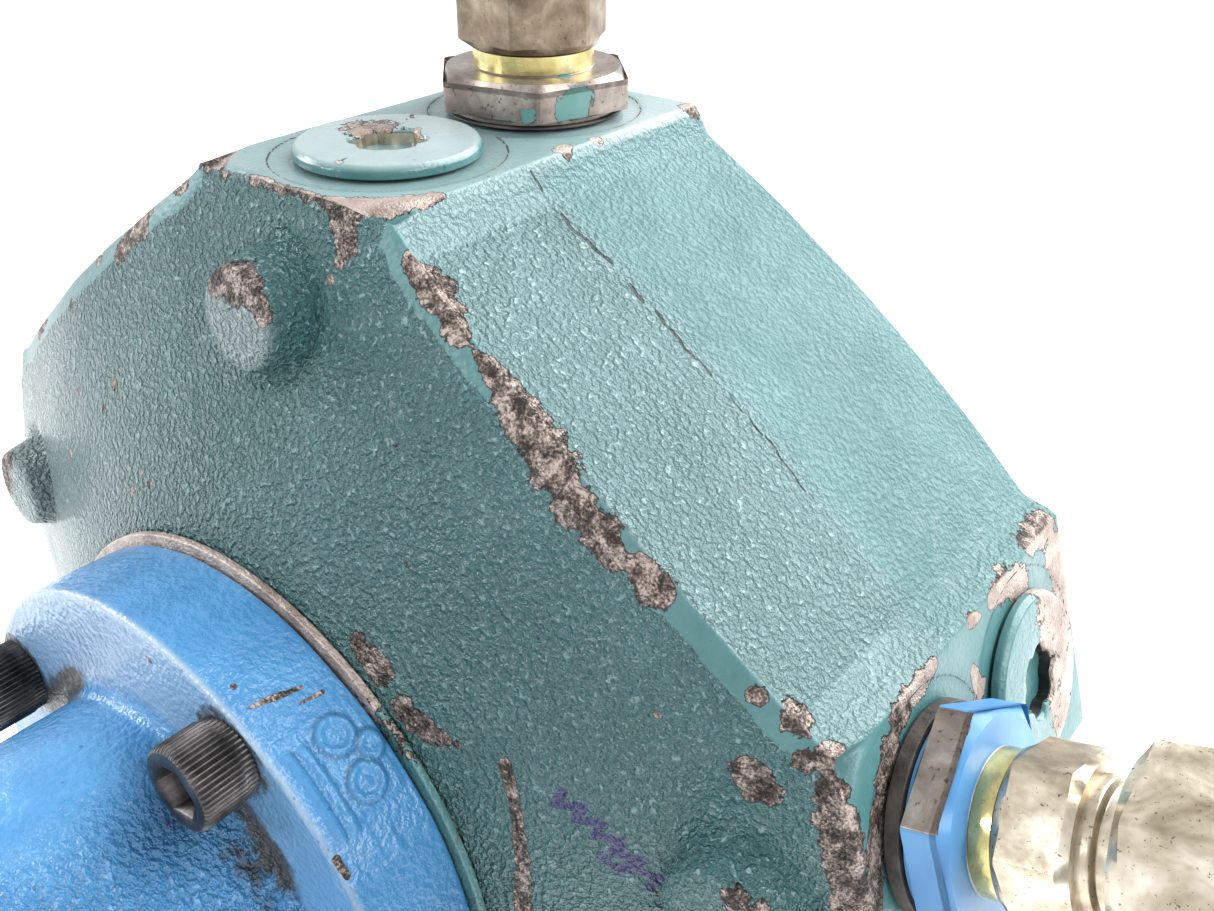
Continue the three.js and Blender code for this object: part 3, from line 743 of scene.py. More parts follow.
def surface_fields(obj, at):
    """How smooth, matte and machined the skin is."""
    smooth = np.where(at.pad, 0.93, 0.28 + 0.27 * at.behind) * ~at.front
    smooth = np.where(at.bevel, 0.85, smooth)
    smooth = np.where(at.wall, np.maximum(smooth, 0.5), smooth)
    field(obj, "smooth", np.where(at.rear, 0.5, smooth))
    matte = np.where(at.pad, 0.25, 0.08 + 0.8 * at.behind) * ~at.front
    matte = np.where(at.bevel, 0.6, matte)
    matte = np.where(at.wall, 0.45, matte)
    field(obj, "matte", np.where(at.rear, 0.5, matte))
    painted_strip = (at.y < -24) & (at.x > 90) & (at.s < 26)
    machined = 0.85 * (at.pad & ~at.front & ~at.rear & ~painted_strip)
    field(obj, "machined", machined)


def painted_light_fields(obj, at, a):
    """Painted sheen on the left, the top, the facets and the upper stub, and painted shade in the middle of the
    front.
    """
    # painted sheen: light bleeding round the left edge, on the top pad and plug, the facets and the stub's face
    painted_sheen = 0.42 * soft(at.x, -62, -112) * soft(at.z, -30, 40) * at.front
    top_pad = 0.26 + 0.3 * soft(at.x, 0, 26) * soft(at.y, 6, 30)
    painted_sheen = np.maximum(painted_sheen, top_pad * (at.z > PAD_PLANE - 1.5))
    painted_sheen = np.maximum(painted_sheen, (0.17 - 0.13 * at.behind) * (at.facet & ~at.front))
    painted_sheen[REAR_START - 1:] = 0.0
    stub = np.hypot(at.x, at.z - STUB_PITCH)
    field(obj, "painted_sheen", np.maximum(painted_sheen, 0.38 * soft(stub, STUB_R, STUB_R - 2)))
    # painted shade over the middle of the front face
    ring = np.exp(-((at.radius - 100) / 24) ** 2)
    middle_shade = ring * np.exp(-(near_angle(a, 38)[None, :] / 0.62) ** 2)
    field(obj, "painted_shade", 0.26 * middle_shade * at.front)


def crack_and_shade_field(obj, at):
    """Dark lines where the two halves of the mould met and at the edges of the spotfaces: cracks, with painted
    shade of their small steps.
    """
    s = at.s
    wander = PARTING_Y + 0.30 * np.sin(0.9 * s) + 0.28 * np.sin(0.37 * s)
    line = np.clip(1.15 - np.abs(at.y - wander) / 0.95, 0, 1)
    broken = np.sin(0.61 * s) + np.sin(0.23 * s + 1) > 1.15 - 0.012 * s
    fade = (0.80 * soft(s, -38, -24) + 0.2 * soft(s, -5, 25)) * np.where(broken, 0.5, 1)
    fade = fade * at.facet * soft(s, CHORD_HALF + 3, CHORD_HALF - 3)
    nearest = np.minimum(np.hypot(s, at.y - PORT_ROW), np.hypot(s, at.y + PORT_ROW))
    spot_edge = np.clip(1 - np.abs(nearest - SPOT_R) / 0.7, 0, 1) * at.pad * 0.9
    field(obj, "crack_and_shade", np.maximum(line * fade, spot_edge) * ~at.front)


def build_housing():
    grid, a, pad, s = housing_grid()
    rows, columns = grid.shape[:2]
    weight = np.ones((rows, columns))
    grid = soften(grid, 3, weight)
    weight[:, pad] = 0.0
    weight[:SIDE_START] = 0.15
    grid = soften(grid, 4, weight)
    flat = grid.reshape(-1, 3)
    wave = np.array([noise.noise(Vector(p) / 19.0) for p in flat])
    normal = flat / np.maximum(np.hypot(flat[:, 0], flat[:, 2]), 1)[:, None]
    normal[:, 1] = 0
    keep = np.tile(np.where(pad, 0.15, 1.0), rows)
    flat = flat + normal * (0.35 * wave * keep)[:, None]
    faces = grid_faces(rows, columns, order=(0, 3, 2, 1))
    obj = plain_object("housing_skin", place_output(flat), faces)
    obj.data.materials.append(TEAL)
    at = skin_places(grid, pad, s)
    surface_fields(obj, at)
    painted_light_fields(obj, at, a)
    crack_and_shade_field(obj, at)
    zigzag = [(94.5 + 1.2 * k + 1.8 * (-1) ** k, 31 - 1.15 * k, 1.25) for k in range(12)]
    hook = [(98.5, 22.5, 1.3), (101, 20.5, 1.2), (105, 21.6, 1.2)]
    seat = [along(on_cone, (NOSE_R + 1, t, 1.6)) for t in range(20, 62, 3)]
    field(obj, "chip", spots(flat, housing_chips()))
    field(obj, "ink_and_shade", spots(flat, [along(on_cone, *zigzag), along(on_cone, *hook)]))
    field(obj, "dirt_and_shade", 0.55 * spots(flat, seat))
    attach(obj, "casing")
    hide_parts("housing")


# ---- blue bearing flange ---------------------------------------------------------
SPIGOT = 13.1
FLANGE_THICKNESS = 22.3
FLANGE_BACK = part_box("bearing_flange")[1].y / MM - SPIGOT
FLANGE_FACE = FLANGE_BACK - FLANGE_THICKNESS
HUB_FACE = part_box("bearing_flange")[0].y / MM
HUB_R = 45.0
FLANGE_PITCH = 60.0
FLANGE_SCREWS = [61, 151, 241, 331]
# each dot's degrees, y and radius, and each line's y
RIM_DOTS = [(52, -87.8, 2.6), (43.5, -87.7, 2.6), (47.8, -83.0, 1.5)]
RIM_LINES = [-97.6, -94.6]


def flange_profile():
    outer = rounded([(31, HUB_FACE), (HUB_R - 1, HUB_FACE), (HUB_R, HUB_FACE + 20),
                     (HUB_R + 0.3, FLANGE_FACE - 6), (HUB_R + 0.2, FLANGE_FACE)], 5, 6)
    knee = [(HUB_R + 0.2 + 3.2 * (1 - cos(t)), FLANGE_FACE - 3.2 * (1 - sin(t)))
            for t in np.linspace(0.1, pi / 2, 6)]
    rim = rounded([(HUB_R + 4, FLANGE_FACE), (FLANGE_R, FLANGE_FACE), (FLANGE_R, FLANGE_BACK),
                   (49.2, FLANGE_BACK)], 1.5, 6)
    inner = [(49.2, -66), (42.9, -66), (42.9, -91), (38, -91), (38, -93), (26, -93),
             (26, HUB_FACE + 10.5), (31, HUB_FACE + 10.5)]
    return outer[:-1] + knee + rim, inner


def resample(profile, pitch):
    made = [profile[0]]
    for before, after in zip(profile, profile[1:]):
        count = max(1, int(dist(before, after) / pitch))
        made += [tuple(np.array(before) + (np.array(after) - np.array(before)) * (k / count))
                 for k in range(1, count + 1)]
    return made


def hub_pockets(r, a, y):
    """Hollows in the hub beside each screw."""
    on_hub = (r < HUB_R + 3.8) & (r > HUB_R - 5) & (y < FLANGE_FACE + 0.2)
    depth = np.zeros_like(r)
    for screw in FLANGE_SCREWS:
        d = near_angle(a, screw) * HUB_R
        depth += 3.2 * np.exp(-(d / 9.5) ** 2) * soft(y, FLANGE_FACE - 26, FLANGE_FACE - 9)
    return np.where(on_hub, -depth, 0)


def rim_marks(r, a, y):
    """Cast identification dots and lines on a slightly raised patch of the rim."""
    on_rim = r > FLANGE_R - 0.5
    sweep = FLANGE_R * near_angle(a, 48)
    raised = 0.45 * soft(np.abs(sweep), 11.5, 9.5) * soft(y, -99.5, -98.0) * soft(y, -80.5, -82)
    for degrees, height, size in RIM_DOTS:
        d = np.hypot(FLANGE_R * near_angle(a, degrees), y - height)
        raised += 0.95 * np.exp(-((d - size - 0.6) / 0.75) ** 2)
        raised += 0.5 * np.exp(-(d / 1.1) ** 2)
    for height in RIM_LINES:
        inside = soft(np.abs(sweep + 2.5), 10.5, 8.5)
        raised += 0.85 * np.exp(-((y - height) / 0.75) ** 2) * inside
    comma = np.hypot(FLANGE_R * near_angle(a, 33.2) * 0.35, y + 88.5)
    raised += 0.5 * np.exp(-(comma / 0.8) ** 2)
    return np.where(on_rim, raised, 0)


def rim_shadow(a, y):
    """Painted shade along the foot of each raised mark."""
    shadow = np.zeros(len(a))
    for degrees, height, size in RIM_DOTS:
        d = np.hypot(FLANGE_R * near_angle(a, degrees), y - height)
        shadow = np.maximum(shadow, np.exp(-((d - size - 1.7) / 0.5) ** 2))
    inside = soft(np.abs(FLANGE_R * near_angle(a, 48) + 2.5), 11, 9)
    for height in RIM_LINES:
        shadow = np.maximum(shadow, np.exp(-((y - height - 1.2) / 0.45) ** 2) * inside)
    return shadow


def build_flange():
    outer, inner = flange_profile()
    profile = np.array(resample(outer, 0.55))
    segments = 1080
    a = (np.arange(segments) * 2 * pi / segments)[None, :]
    r0, y0 = profile[:, :1], profile[:, 1:]
    r = r0 + 0 * a
    y = y0 + 0 * a
    full = np.where(np.arange(len(profile))[:, None] > 3, 1, 0)
    r = r + (hub_pockets(r, a, y) + rim_marks(r, a, y)) * full
    skin = np.stack([r * np.cos(a), y, r * np.sin(a)], 2)
    wave = np.array([noise.noise(Vector(p) / 13.0) for p in skin.reshape(-1, 3)]).reshape(r.shape)
    r = r + 0.30 * wave * full * soft(r0, 27, 40) * (y > HUB_FACE + 6)
    tail = np.array(inner)
    r = np.concatenate([r, np.repeat(tail[:, :1], segments, 1)])
    y = np.concatenate([y, np.repeat(tail[:, 1:], segments, 1)])
    skin = np.stack([r * np.cos(a), y, r * np.sin(a)], 2)
    flange_fields(make_object("flange_skin", place_output(skin.reshape(-1, 3)),
                              grid_faces(len(r), segments, loop=True), "blue_paint",
                              ["bearing_flange"], sharp=55))


def flange_scratches():
    def rim(degrees, height, radius=FLANGE_R):
        return at_angle(degrees, radius, 0.0, height)
    return [
        along(rim, (63.2, -97.4, 0.35), (62.3, -92, 0.8), (61.3, -86.8, 0.4)),
        along(rim, (59.3, -89.2, 0.3), (58.8, -84, 0.5)),
        along(rim, (36.8, -100.3, 0.9), (33.9, -100.3, 0.8)), along(rim, (67.5, -96.8, 0.7)),
        along(rim, (100, -101, 68.5, 0.5)), along(rim, (127, -92, 0.8)),
        along(rim, (84, -101, 64, 0.9)), along(rim, (-40, -90, 0.9), (-34, -93, 0.6)),
        along(rim, (-120, -101.2, 69.5, 1.4)),
        along(rim, (200, -101.2, 69.5, 1.2), (210, -101.2, 69.5, 0.6)),
    ]


def screw_dirt_and_shade(r, a, y):
    """Dirt round each screw, darkening along the hub's fillet below it, and painted shade in the hub's hollows."""
    dirt_and_shade = np.zeros(len(a))
    shade = np.zeros(len(a))
    on_face = (y < FLANGE_FACE + 1.0) & (r < 69)
    fillet = np.exp(-((r - HUB_R - 3.5) / 6.0) ** 2) * soft(y, FLANGE_FACE - 15, FLANGE_FACE - 5)
    for screw in FLANGE_SCREWS:
        d = near_angle(a, screw)
        seat = np.maximum(np.hypot(FLANGE_PITCH * d, r - FLANGE_PITCH) - 9.4, 0)
        dirt_and_shade = np.maximum(dirt_and_shade, 0.62 * np.exp(-(seat / 2.2) ** 2) * on_face)
        trail = soft(-d, -0.22, 0.02) * soft(-d, 0.80, 0.40)
        dirt_and_shade = np.maximum(dirt_and_shade, 0.86 * fillet * on_face * trail)
        # the hollow beside each screw: painted shade, laid into both values
        hollow_shade = np.exp(-(d * HUB_R / 8.5) ** 2) * soft(y, FLANGE_FACE - 22, FLANGE_FACE - 9)
        hollow_shade = hollow_shade * (r < HUB_R + 3)
        dirt_and_shade = np.maximum(dirt_and_shade, 0.40 * hollow_shade)
        shade = np.maximum(shade, 0.56 * hollow_shade)
    return dirt_and_shade, shade


def flange_fields(obj):
    points = axis_points(obj)
    a = np.arctan2(points[:, 2], points[:, 0])
    r = np.hypot(points[:, 0], points[:, 2])
    y = points[:, 1]
    field(obj, "chip", spots(points, flange_scratches()))
    dirt_and_shade, shade = screw_dirt_and_shade(r, a, y)
    # dirt round the screws; painted shade in the hub's hollows
    field(obj, "dirt_and_shade", dirt_and_shade)
    # painted shade in the hub's hollows, in dark blue
    field(obj, "ink_and_shade", shade)
    # painted shade on the rim's lower right, at the foot of its marks and in the hub's hollows
    low_side = near_angle(a, 5)
    lower_shade = 0.62 * soft(low_side, 0.95, 0.1) * soft(low_side, -1.9, -1.0)
    on_rim = np.maximum(lower_shade, 0.75 * rim_shadow(a, y)) * (r > FLANGE_R - 1)
    field(obj, "painted_shade", np.maximum(on_rim, 1.1 * shade))
    rough = 0.20 + 0.55 * soft(np.sin(a - radians(75)), 0.2, -0.3) * (r < HUB_R + 4)
    marks = (r > FLANGE_R - 0.5) & (np.abs(near_angle(a, 46)) < 0.26)
    field(obj, "smooth", np.clip(1 - np.where(marks, 0.25, rough), 0, 1))
    # painted sheen on the flange face, stronger on its upper side, and a painted highlight along the rim's front
    # corner
    face = soft(y, FLANGE_FACE + 1.5, FLANGE_FACE + 0.3) * soft(r, HUB_R + 1, HUB_R + 6)
    corner = np.hypot(r - FLANGE_R + 0.4, y - FLANGE_FACE - 0.4)
    upper_sheen = 0.35 + 0.65 * soft(near_angle(a, 110), 1.6, 0.3) * soft(near_angle(a, 110), -1.6, -0.3)
    field(obj, "painted_sheen", 0.34 * face * upper_sheen + 0.30 * np.exp(-(corner / 0.9) ** 2))


# ---- screws ----------------------------------------------------------------------
def knurl(teeth, depth, radius):
    def limit(a):
        return radius - depth * (0.5 + 0.5 * np.sin(a * teeth))
    return limit


def socket_screw(name, node, place, head_r, seat, head_l, across, thread_r, tip):
    """Cap screw whose head runs from seat towards lower h. The head's side is knurled."""
    top = seat - head_l
    shape = [(0, top + head_l * 0.55), (0.93, top + head_l * 0.5, "socket"),
             (1.0, top + head_l * 0.44, "socket"), (1.0, top + 0.35, "socket"),
             (1.06, top, "socket")]
    shape += rounded([(across / 2 + 2.4, top), (head_r - 0.5, top), (head_r - 0.15, top + 0.7)], 0.4)
    shape += [(head_r + 1, top + 0.9), (head_r + 1, seat - 2.6), (head_r - 0.3, seat - 2.2),
              (head_r - 0.35, seat), (thread_r, seat), (thread_r, tip), (0, tip)]
    turned(name, shape, place, "black_oxide", [node], 384, knurl(48, 0.75, head_r),
           hex_limit(across, 0.35, 0.1), sharp=50)


def build_screws_and_shim():
    for i, degrees in enumerate(FLANGE_SCREWS):
        socket_screw(f"flange_cap_screw_{i + 1}", f"flange_screw_{i + 1}",
                     around_axis(FLANGE_PITCH, degrees), 9.0, FLANGE_FACE - 0.3, 12.0, 10.0, 6.0,
                     -63.0)
    low, high = (corner.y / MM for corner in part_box("flange_shim"))
    ring = rounded([(50.4, low), (NOSE_R - 0.5, low), (NOSE_R - 0.5, high), (50.4, high)], 0.4)
    shim = turned("shim_ring", ring + [ring[0]], place_output, "gasket_board", ["flange_shim"], 360,
                  material=TEAL)
    points = axis_points(shim)
    a = near_angle(np.arctan2(points[:, 2], points[:, 0]), 98)
    field(shim, "chip", 0.12 + 0.9 * np.exp(-(a / 0.95) ** 2))
    # darker away from the upper left
    field(shim, "dirt_and_shade", 0.44 - 0.30 * np.exp(-(a / 0.8) ** 2))
    field(shim, "machined", 1.0)
    field(shim, "smooth", 0.8)


# ---- plugs in the pads -----------------------------------------------------------
# each plug's pad, and its row: -1 in front, 1 behind
PLUGS = {"plug_top": (90, -1), "plug_right": (18, 1)}
for pad_name, pad_angle in (("left", 162), ("low_right", -54), ("low_left", -126)):
    PLUGS[f"plug_{pad_name}_front"] = (pad_angle, -1)
    PLUGS[f"plug_{pad_name}_rear"] = (pad_angle, 1)
SOCKET_ACROSS = 15.2


def lobed(across):
    """A socket outline between a hexagon and a lobed star, its points rounded by wear."""
    def limit(a):
        return across / 2 * (1.0 + 0.085 * np.cos(6 * (a - 0.2)) + 0.02 * np.cos(12 * a))
    return limit


def plug_wear(name, d):
    """Where a plug's paint is gone, from d, each point's place from the plug's middle."""
    if name == "plug_right":
        return np.clip(0.5 + 0.055 * (d[:, 1] - 1.5) - 0.006 * np.abs(d[:, 2]), 0, 0.62)
    if name == "plug_top":
        return np.clip(0.86 - 0.055 * np.hypot(d[:, 0] + 8.5, d[:, 1] - 3.0), 0, 0.62)
    return np.zeros(len(d))


def plug_fields(obj, name, draw):
    points = vertices_mm(obj)
    centre = points.mean(0)
    chains = []
    for _ in range(5):
        start = centre + draw.normal(0, 8, 3)
        chains.append([(start, draw.uniform(0.6, 2.2)), (start + draw.normal(0, 3, 3), 1.2)])
    field(obj, "chip", np.maximum(spots(points, chains), plug_wear(name, points - centre)))
    field(obj, "machined", 1.0)
    field(obj, "smooth", 0.93)
    if name == "plug_top":
        # painted reflection on the top plug's face
        high = points[:, 2].max()
        field(obj, "painted_sheen", 0.5 * soft(points[:, 2], high - 1.2, high))


def build_plugs():
    draw = np.random.default_rng(SEED + 1)
    h = PAD_PLANE
    face = h + PLUG_RISE
    outline = [(0, h - 7), (0.97, h - 7, "socket"), (1.0, h - 6.6, "socket"),
               (1.0, h + 2.2, "socket"), (1.05, face - 0.25, "socket"), (8.6, face)]
    outline += rounded([(10, face), (18.5, face), (19.5, h + 1.9), (19.6, h + 0.3), (17.2, h + 0.3),
                        (16.6, h + 0.3), (15.7, h + 0.2), (15.7, h - 17), (14.6, h - 18),
                        (0, h - 18)], 0.35)
    for name, (angle, side) in PLUGS.items():
        place = place_pad(angle, side * PORT_ROW)
        obj = turned(f"{name}_body", outline, place, "teal_paint", [name], 144,
                     socket=lobed(SOCKET_ACROSS), sharp=32)
        plug_fields(obj, name, draw)
        socket_lining(name, place)


def socket_lining(name, place):
    """Bare metal left inside the socket of a painted plug; in all plugs but the top one it is black, painted shade
    of the deep socket.
    """
    h = PAD_PLANE
    outline = [(0.0, h - 6.7), (0.985, h - 6.7, "socket"), (0.985, h + 2.0, "socket"),
               (0.96, h + 2.0, "socket"), (0.96, h - 6.5, "socket"), (0, h - 6.5)]
    # black in all but the top plug: painted shade of the deep socket
    slot = "zinc_plate" if name == "plug_top" else "black_oxide"
    turned(f"{name}_socket", outline, place, slot, (), 144, socket=lobed(SOCKET_ACROSS), sharp=32)


# ---- pipe fittings ---------------------------------------------------------------
def hexagon(across, low, high, turn, low_chamfer=True):
    """Profile and outline of a hexagon with turned, 30 degree chamfers on its ends."""
    corner = across / sqrt(3)
    flat = across / 2
    rise = (corner - flat * 0.97) * tan(radians(30))
    foot = [(flat * 0.97, low), (corner, low + rise)]
    if not low_chamfer:
        foot = [(flat * 0.99, low), (corner, low + 0.3)]
    side = [(corner, low + (high - low) * t) for t in np.linspace(0.12, 0.88, 9)]
    return foot + side + [(corner, high - rise), (flat * 0.97, high)], hex_limit(across, turn, 0.28)


def union_paint(name, patch_at, coat):
    """Bare grey-brown metal of a hexagon with left-over patches of the machine's paint."""
    n = Nodes(name)
    cloud = n.noise(110, 4.0, 0.65, distortion=0.4)
    colour = n.curve(cloud, *zip((0.30, 0.5, 0.70), GREY_BROWN))
    colour = n.mix(n.step(n.noise(900, 2.0), 0.62, 0.70, 0, 0.7), colour, (0.07, 0.05, 0.04))
    ragged = n.swing(n.noise(170, 3.0, 0.6, distortion=0.5), patch_at)
    patch = n.plus(n.attribute("coat"), ragged)
    covered = n.step(patch, 0.5, 0.515)
    edge = n.times(n.step(patch, 0.47, 0.50), n.step(patch, 0.53, 0.505))
    colour = n.mix(covered, colour, n.curve(n.noise(60, 3.0), (0.35, coat[0]), (0.65, coat[1])))
    colour = n.mix(n.times(edge, 0.75), colour, (0.05, 0.04, 0.04))
    normal = n.bump(n.noise(240, 3.0, 0.6), 0.0004, 0.18)
    normal = n.bump(covered, 0.0003, 0.7, normal)
    metallic = n.times(n.minus(1.0, covered), 0.85)
    return n.finish(colour, n.plus(0.30, n.times(cloud, 0.18)), metallic, normal)


GREY_BROWN = [(0.17, 0.140, 0.120), (0.28, 0.240, 0.215), (0.46, 0.42, 0.385)]
FITTINGS = {
    "top": {
        "angle": 90, "side": 1, "rise": 1.0, "turns": (0.76, 0.44, 0.3), "slot": "bare_steel",
        "paint": union_paint("hex_with_teal", 0.95, ((0.06, 0.17, 0.16), (0.10, 0.22, 0.21))),
        # the top fitting's plating: yellow zinc darkened as painted shade
        "plating": SHADED_ZINC, "ring_slot": "black_oxide", "ring_top": 0.8},
    "right": {
        "angle": 18, "side": -1, "rise": 3.6, "turns": (0.544, 0.735, 0.12), "slot": "blue_paint",
        "paint": union_paint("hex_with_blue", 0.42, ((0.045, 0.175, 0.38), (0.08, 0.25, 0.47))),
        "plating": ZINC, "ring_slot": "seal_rubber", "ring_top": 3.3},
}


def adapter_coat(obj, spec, h):
    """Where the machine's paint still covers the hexagon: above 0.5 is covered."""
    points = vertices_mm(obj) - np.array([0, spec["side"] * PORT_ROW, AXIS_Z])
    t = radians(90 - spec["angle"])
    x = points[:, 0] * cos(t) - points[:, 2] * sin(t)
    height = points[:, 0] * sin(t) + points[:, 2] * cos(t) - h
    turn = np.mod(np.arctan2(x, -points[:, 1]) - spec["turns"][0], 2 * pi)
    if spec["slot"] == "blue_paint":
        worn_facet = (turn >= 4 * pi / 3) & (turn < 5 * pi / 3)
        coat = np.where(worn_facet & (height > 0.9) & (height < 8.7), 0.33, 0.86)
        return np.where(height > 9.1, 0.0, coat)
    big = np.hypot((turn - 0.40) * 21, height - 4.5) - 4.6
    small = np.hypot((turn - 2 * pi + 0.10) * 21, height - 3.2) - 1.3
    return np.clip(0.5 - 0.14 * np.minimum(big, small), 0.0, 0.85)


def adapter(name, spec, place, h):
    foot = PAD_PLANE - 18
    hexed, limit = hexagon(41.0, h + 1.0, h + 8.9, spec["turns"][0], low_chamfer=False)
    profile = [(8.4, foot), (15.0, foot), (15.7, foot + 1), (15.7, h), (19.5, h), (19.5, h + 0.99)]
    profile += hexed + [(14.6, h + 8.9), (13.9, h + 8.95)]
    profile += rounded([(13.6, h + 9.2), (13.5, h + 12.9), (12.8, h + 13.4), (8.4, h + 13.4)], 0.5)
    obj = turned(f"{name}_adapter_body", profile + [profile[0]], place, spec["slot"],
                 [f"{name}_adapter"], 180, limit, sharp=24, material=spec["paint"])
    field(obj, "coat", adapter_coat(obj, spec, h))
    # a bright turning between the painted hexagon and the union
    low, high = h + 9.3, h + 13.2
    neck = [(13.55, low), (13.75, low), (13.75, high), (13.55, high), (13.55, low)]
    turned(f"{name}_neck", neck, place, "zinc_plate", (), 120, material=BRIGHT_ZINC)


def union_body(name, spec, place, h):
    hexed, limit = hexagon(30.0, h + 13.7, h + 27.2, spec["turns"][1])
    profile = [(5.5, h + 2), (8, h + 2), (8, h + 13.69), (13.2, h + 13.7)] + hexed
    profile += rounded([(12.5, h + 27.3), (12.5, h + 29.5), (11.8, h + 30), (11, h + 30.2),
                        (11, h + 47.4), (10.4, h + 48), (5.5, h + 48)], 0.3)
    turned(f"{name}_union_hexagon", profile + [profile[0]], place, "zinc_plate",
           [f"{name}_union_body"], 168, limit, sharp=24, material=spec["plating"])


def union_nut(name, spec, place, h):
    hexed, limit = hexagon(36.0, h + 34, h + 58, spec["turns"][2])
    profile = [(9.4, h + 58), (9.4, h + 52), (11.4, h + 50), (11.4, h + 34.3), (11.9, h + 34)]
    profile += hexed + [(9.9, h + 58), (9.4, h + 58)]
    turned(f"{name}_nut_hexagon", profile, place, "zinc_plate", [f"{name}_union_nut"], 168, limit,
           sharp=24, material=spec["plating"])
    end = rounded([(0, h + 48.5), (8.8, h + 48.5), (8.8, h + 61.2), (7.9, h + 62), (0, h + 62)], 0.4)
    turned(f"{name}_blank", end, place, "bare_steel", [f"{name}_blanking_plug"], 72, material=STEEL)


def build_fittings():
    for name, spec in FITTINGS.items():
        place = place_pad(spec["angle"], spec["side"] * PORT_ROW)
        h = PAD_PLANE + spec["rise"]
        adapter(name, spec, place, h)
        union_body(name, spec, place, h)
        union_nut(name, spec, place, h)
        low, high = PAD_PLANE + 0.3, PAD_PLANE + spec["ring_top"]
        ring = rounded([(16.7, low), (20.5, low), (20.5, high), (16.7, high)], 0.3)
        turned(f"{name}_ring", ring + [ring[0]], place, spec["ring_slot"], [f"{name}_seal_ring"],
               144, material=RUBBER)


# ---- rear cover ------------------------------------------------------------------
def wear_fields(obj, chains, smooth):
    points = axis_points(obj)
    field(obj, "chip", spots(points, chains))
    field(obj, "smooth", smooth)


def build_rear():
    draw = np.random.default_rng(SEED + 2)
    y = COVER_Y
    outline = rounded([(0, y), (50, y), (54, y - 4), (57, y - 11.5), (61, y - 12), (112.6, y - 12),
                       (114, y - 13.4), (114, y - 23.7), (99.8, y - 23.7), (99.8, y - 29.5),
                       (60, y - 29.5), (56, y - 24.5), (42.9, y - 24.5), (42.9, y - 4), (0, y - 4)], 1.5)
    cover = turned("rear_cover_skin", resample(outline, 2.5), place_output, "teal_paint",
                   ["rear_cover"], 240, sharp=50)
    chains = []
    for _ in range(16):
        t = draw.uniform(0, 2 * pi)
        r = draw.choice([113.2, 52.5])
        height = y - 12.6 if r > 60 else y - 2
        reach = t + draw.uniform(0.01, 0.09)
        chains.append([((r * cos(t), height, r * sin(t)), draw.uniform(0.8, 2.4)),
                       ((r * cos(reach), height, r * sin(reach)), draw.uniform(0.6, 1.8))])
    wear_fields(cover, chains, 0.35)
    for i in range(6):
        hexed, limit = hexagon(13.0, y - 11.7, y - 6.4, 0.2, low_chamfer=False)
        shank = [(0, y - 32), (4, y - 32), (4, y - 11.8), (6.0, y - 11.8), (6.2, y - 11.71)]
        turned(f"rear_hex_bolt_{i + 1}", shank + hexed + [(0, y - 6.4)],
               around_axis(108, 30 + 60 * i), "bare_steel", [f"rear_bolt_{i + 1}"], 96, limit,
               sharp=24, material=STEEL)


# ---- lantern ---------------------------------------------------------------------
LANTERN_SEAT = 152.9
LANTERN_PITCH = 56


def lantern_outline():
    t = AXIS_Z
    outer = rounded([(66, 137.3), (70, 137.3), (70, 150), (72, 166), (76, 236), (84, 242),
                     (BASE_R - 1.5, 247), (BASE_R, 249), (BASE_R, t - 1), (BASE_R - 1, t)], 3, 5)
    inner = rounded([(66, t), (65, t - 0.8), (65, 261), (67, 238), (66, 155), (64.8, 152.6),
                     (47, 152.6), (45, 155), (43, 190), (26, 190)], 1.5)
    bore = [(26, 178.8), (30, 178.5), (30, 167.8), (36.4, 167.7), (36.4, 98.5), (43.4, 98.5),
            (43.4, 137.3), (66, 137.3)]
    return resample(outer + inner, 3.0) + bore


def carve(obj, cutters):
    """Cuts the given meshes out of obj, whose mesh becomes the result."""
    for cutter in cutters:
        cut = obj.modifiers.new("cut", "BOOLEAN")
        cut.operation = "DIFFERENCE"
        cut.solver = "EXACT"
        cut.object = cutter
    made = bpy.data.meshes.new_from_object(obj.evaluated_get(bpy.context.evaluated_depsgraph_get()))
    obj.modifiers.clear()
    obj.data = made
    for cutter in cutters:
        bpy.data.objects.remove(cutter)


def window_cutter(turn):
    bpy.ops.mesh.primitive_cube_add(size=1)
    cutter = bpy.context.object
    shape = bmesh.new()
    shape.from_mesh(cutter.data)
    for v in shape.verts:
        v.co = Vector((v.co.x * 0.058, v.co.y * 0.060, v.co.z * 0.052)) + Vector((0, -0.072, 0.068))
    lengthwise = [e for e in shape.edges if abs(e.verts[0].co.y - e.verts[1].co.y) > 0.01]
    bmesh.ops.bevel(shape, geom=lengthwise, offset=0.007, segments=6, profile=0.5, affect="EDGES")
    bmesh.ops.rotate(shape, verts=shape.verts, matrix=Matrix.Rotation(turn, 3, "Z"))
    shape.to_mesh(cutter.data)
    shape.free()
    return cutter


def hole_cutter(radius, pitch, turn, low, high):
    bpy.ops.mesh.primitive_cylinder_add(vertices=40, radius=radius, depth=high - low, location=(
        pitch * cos(turn), pitch * sin(turn), (low + high) / 2))
    return bpy.context.object


def place_lantern_screw(degrees):
    a = radians(degrees)

    def place(points):
        x, h, z = points.T
        return np.stack([x + LANTERN_PITCH * cos(a), z + LANTERN_PITCH * sin(a),
                         AXIS_Z - LANTERN_SEAT + h], 1)
    return place


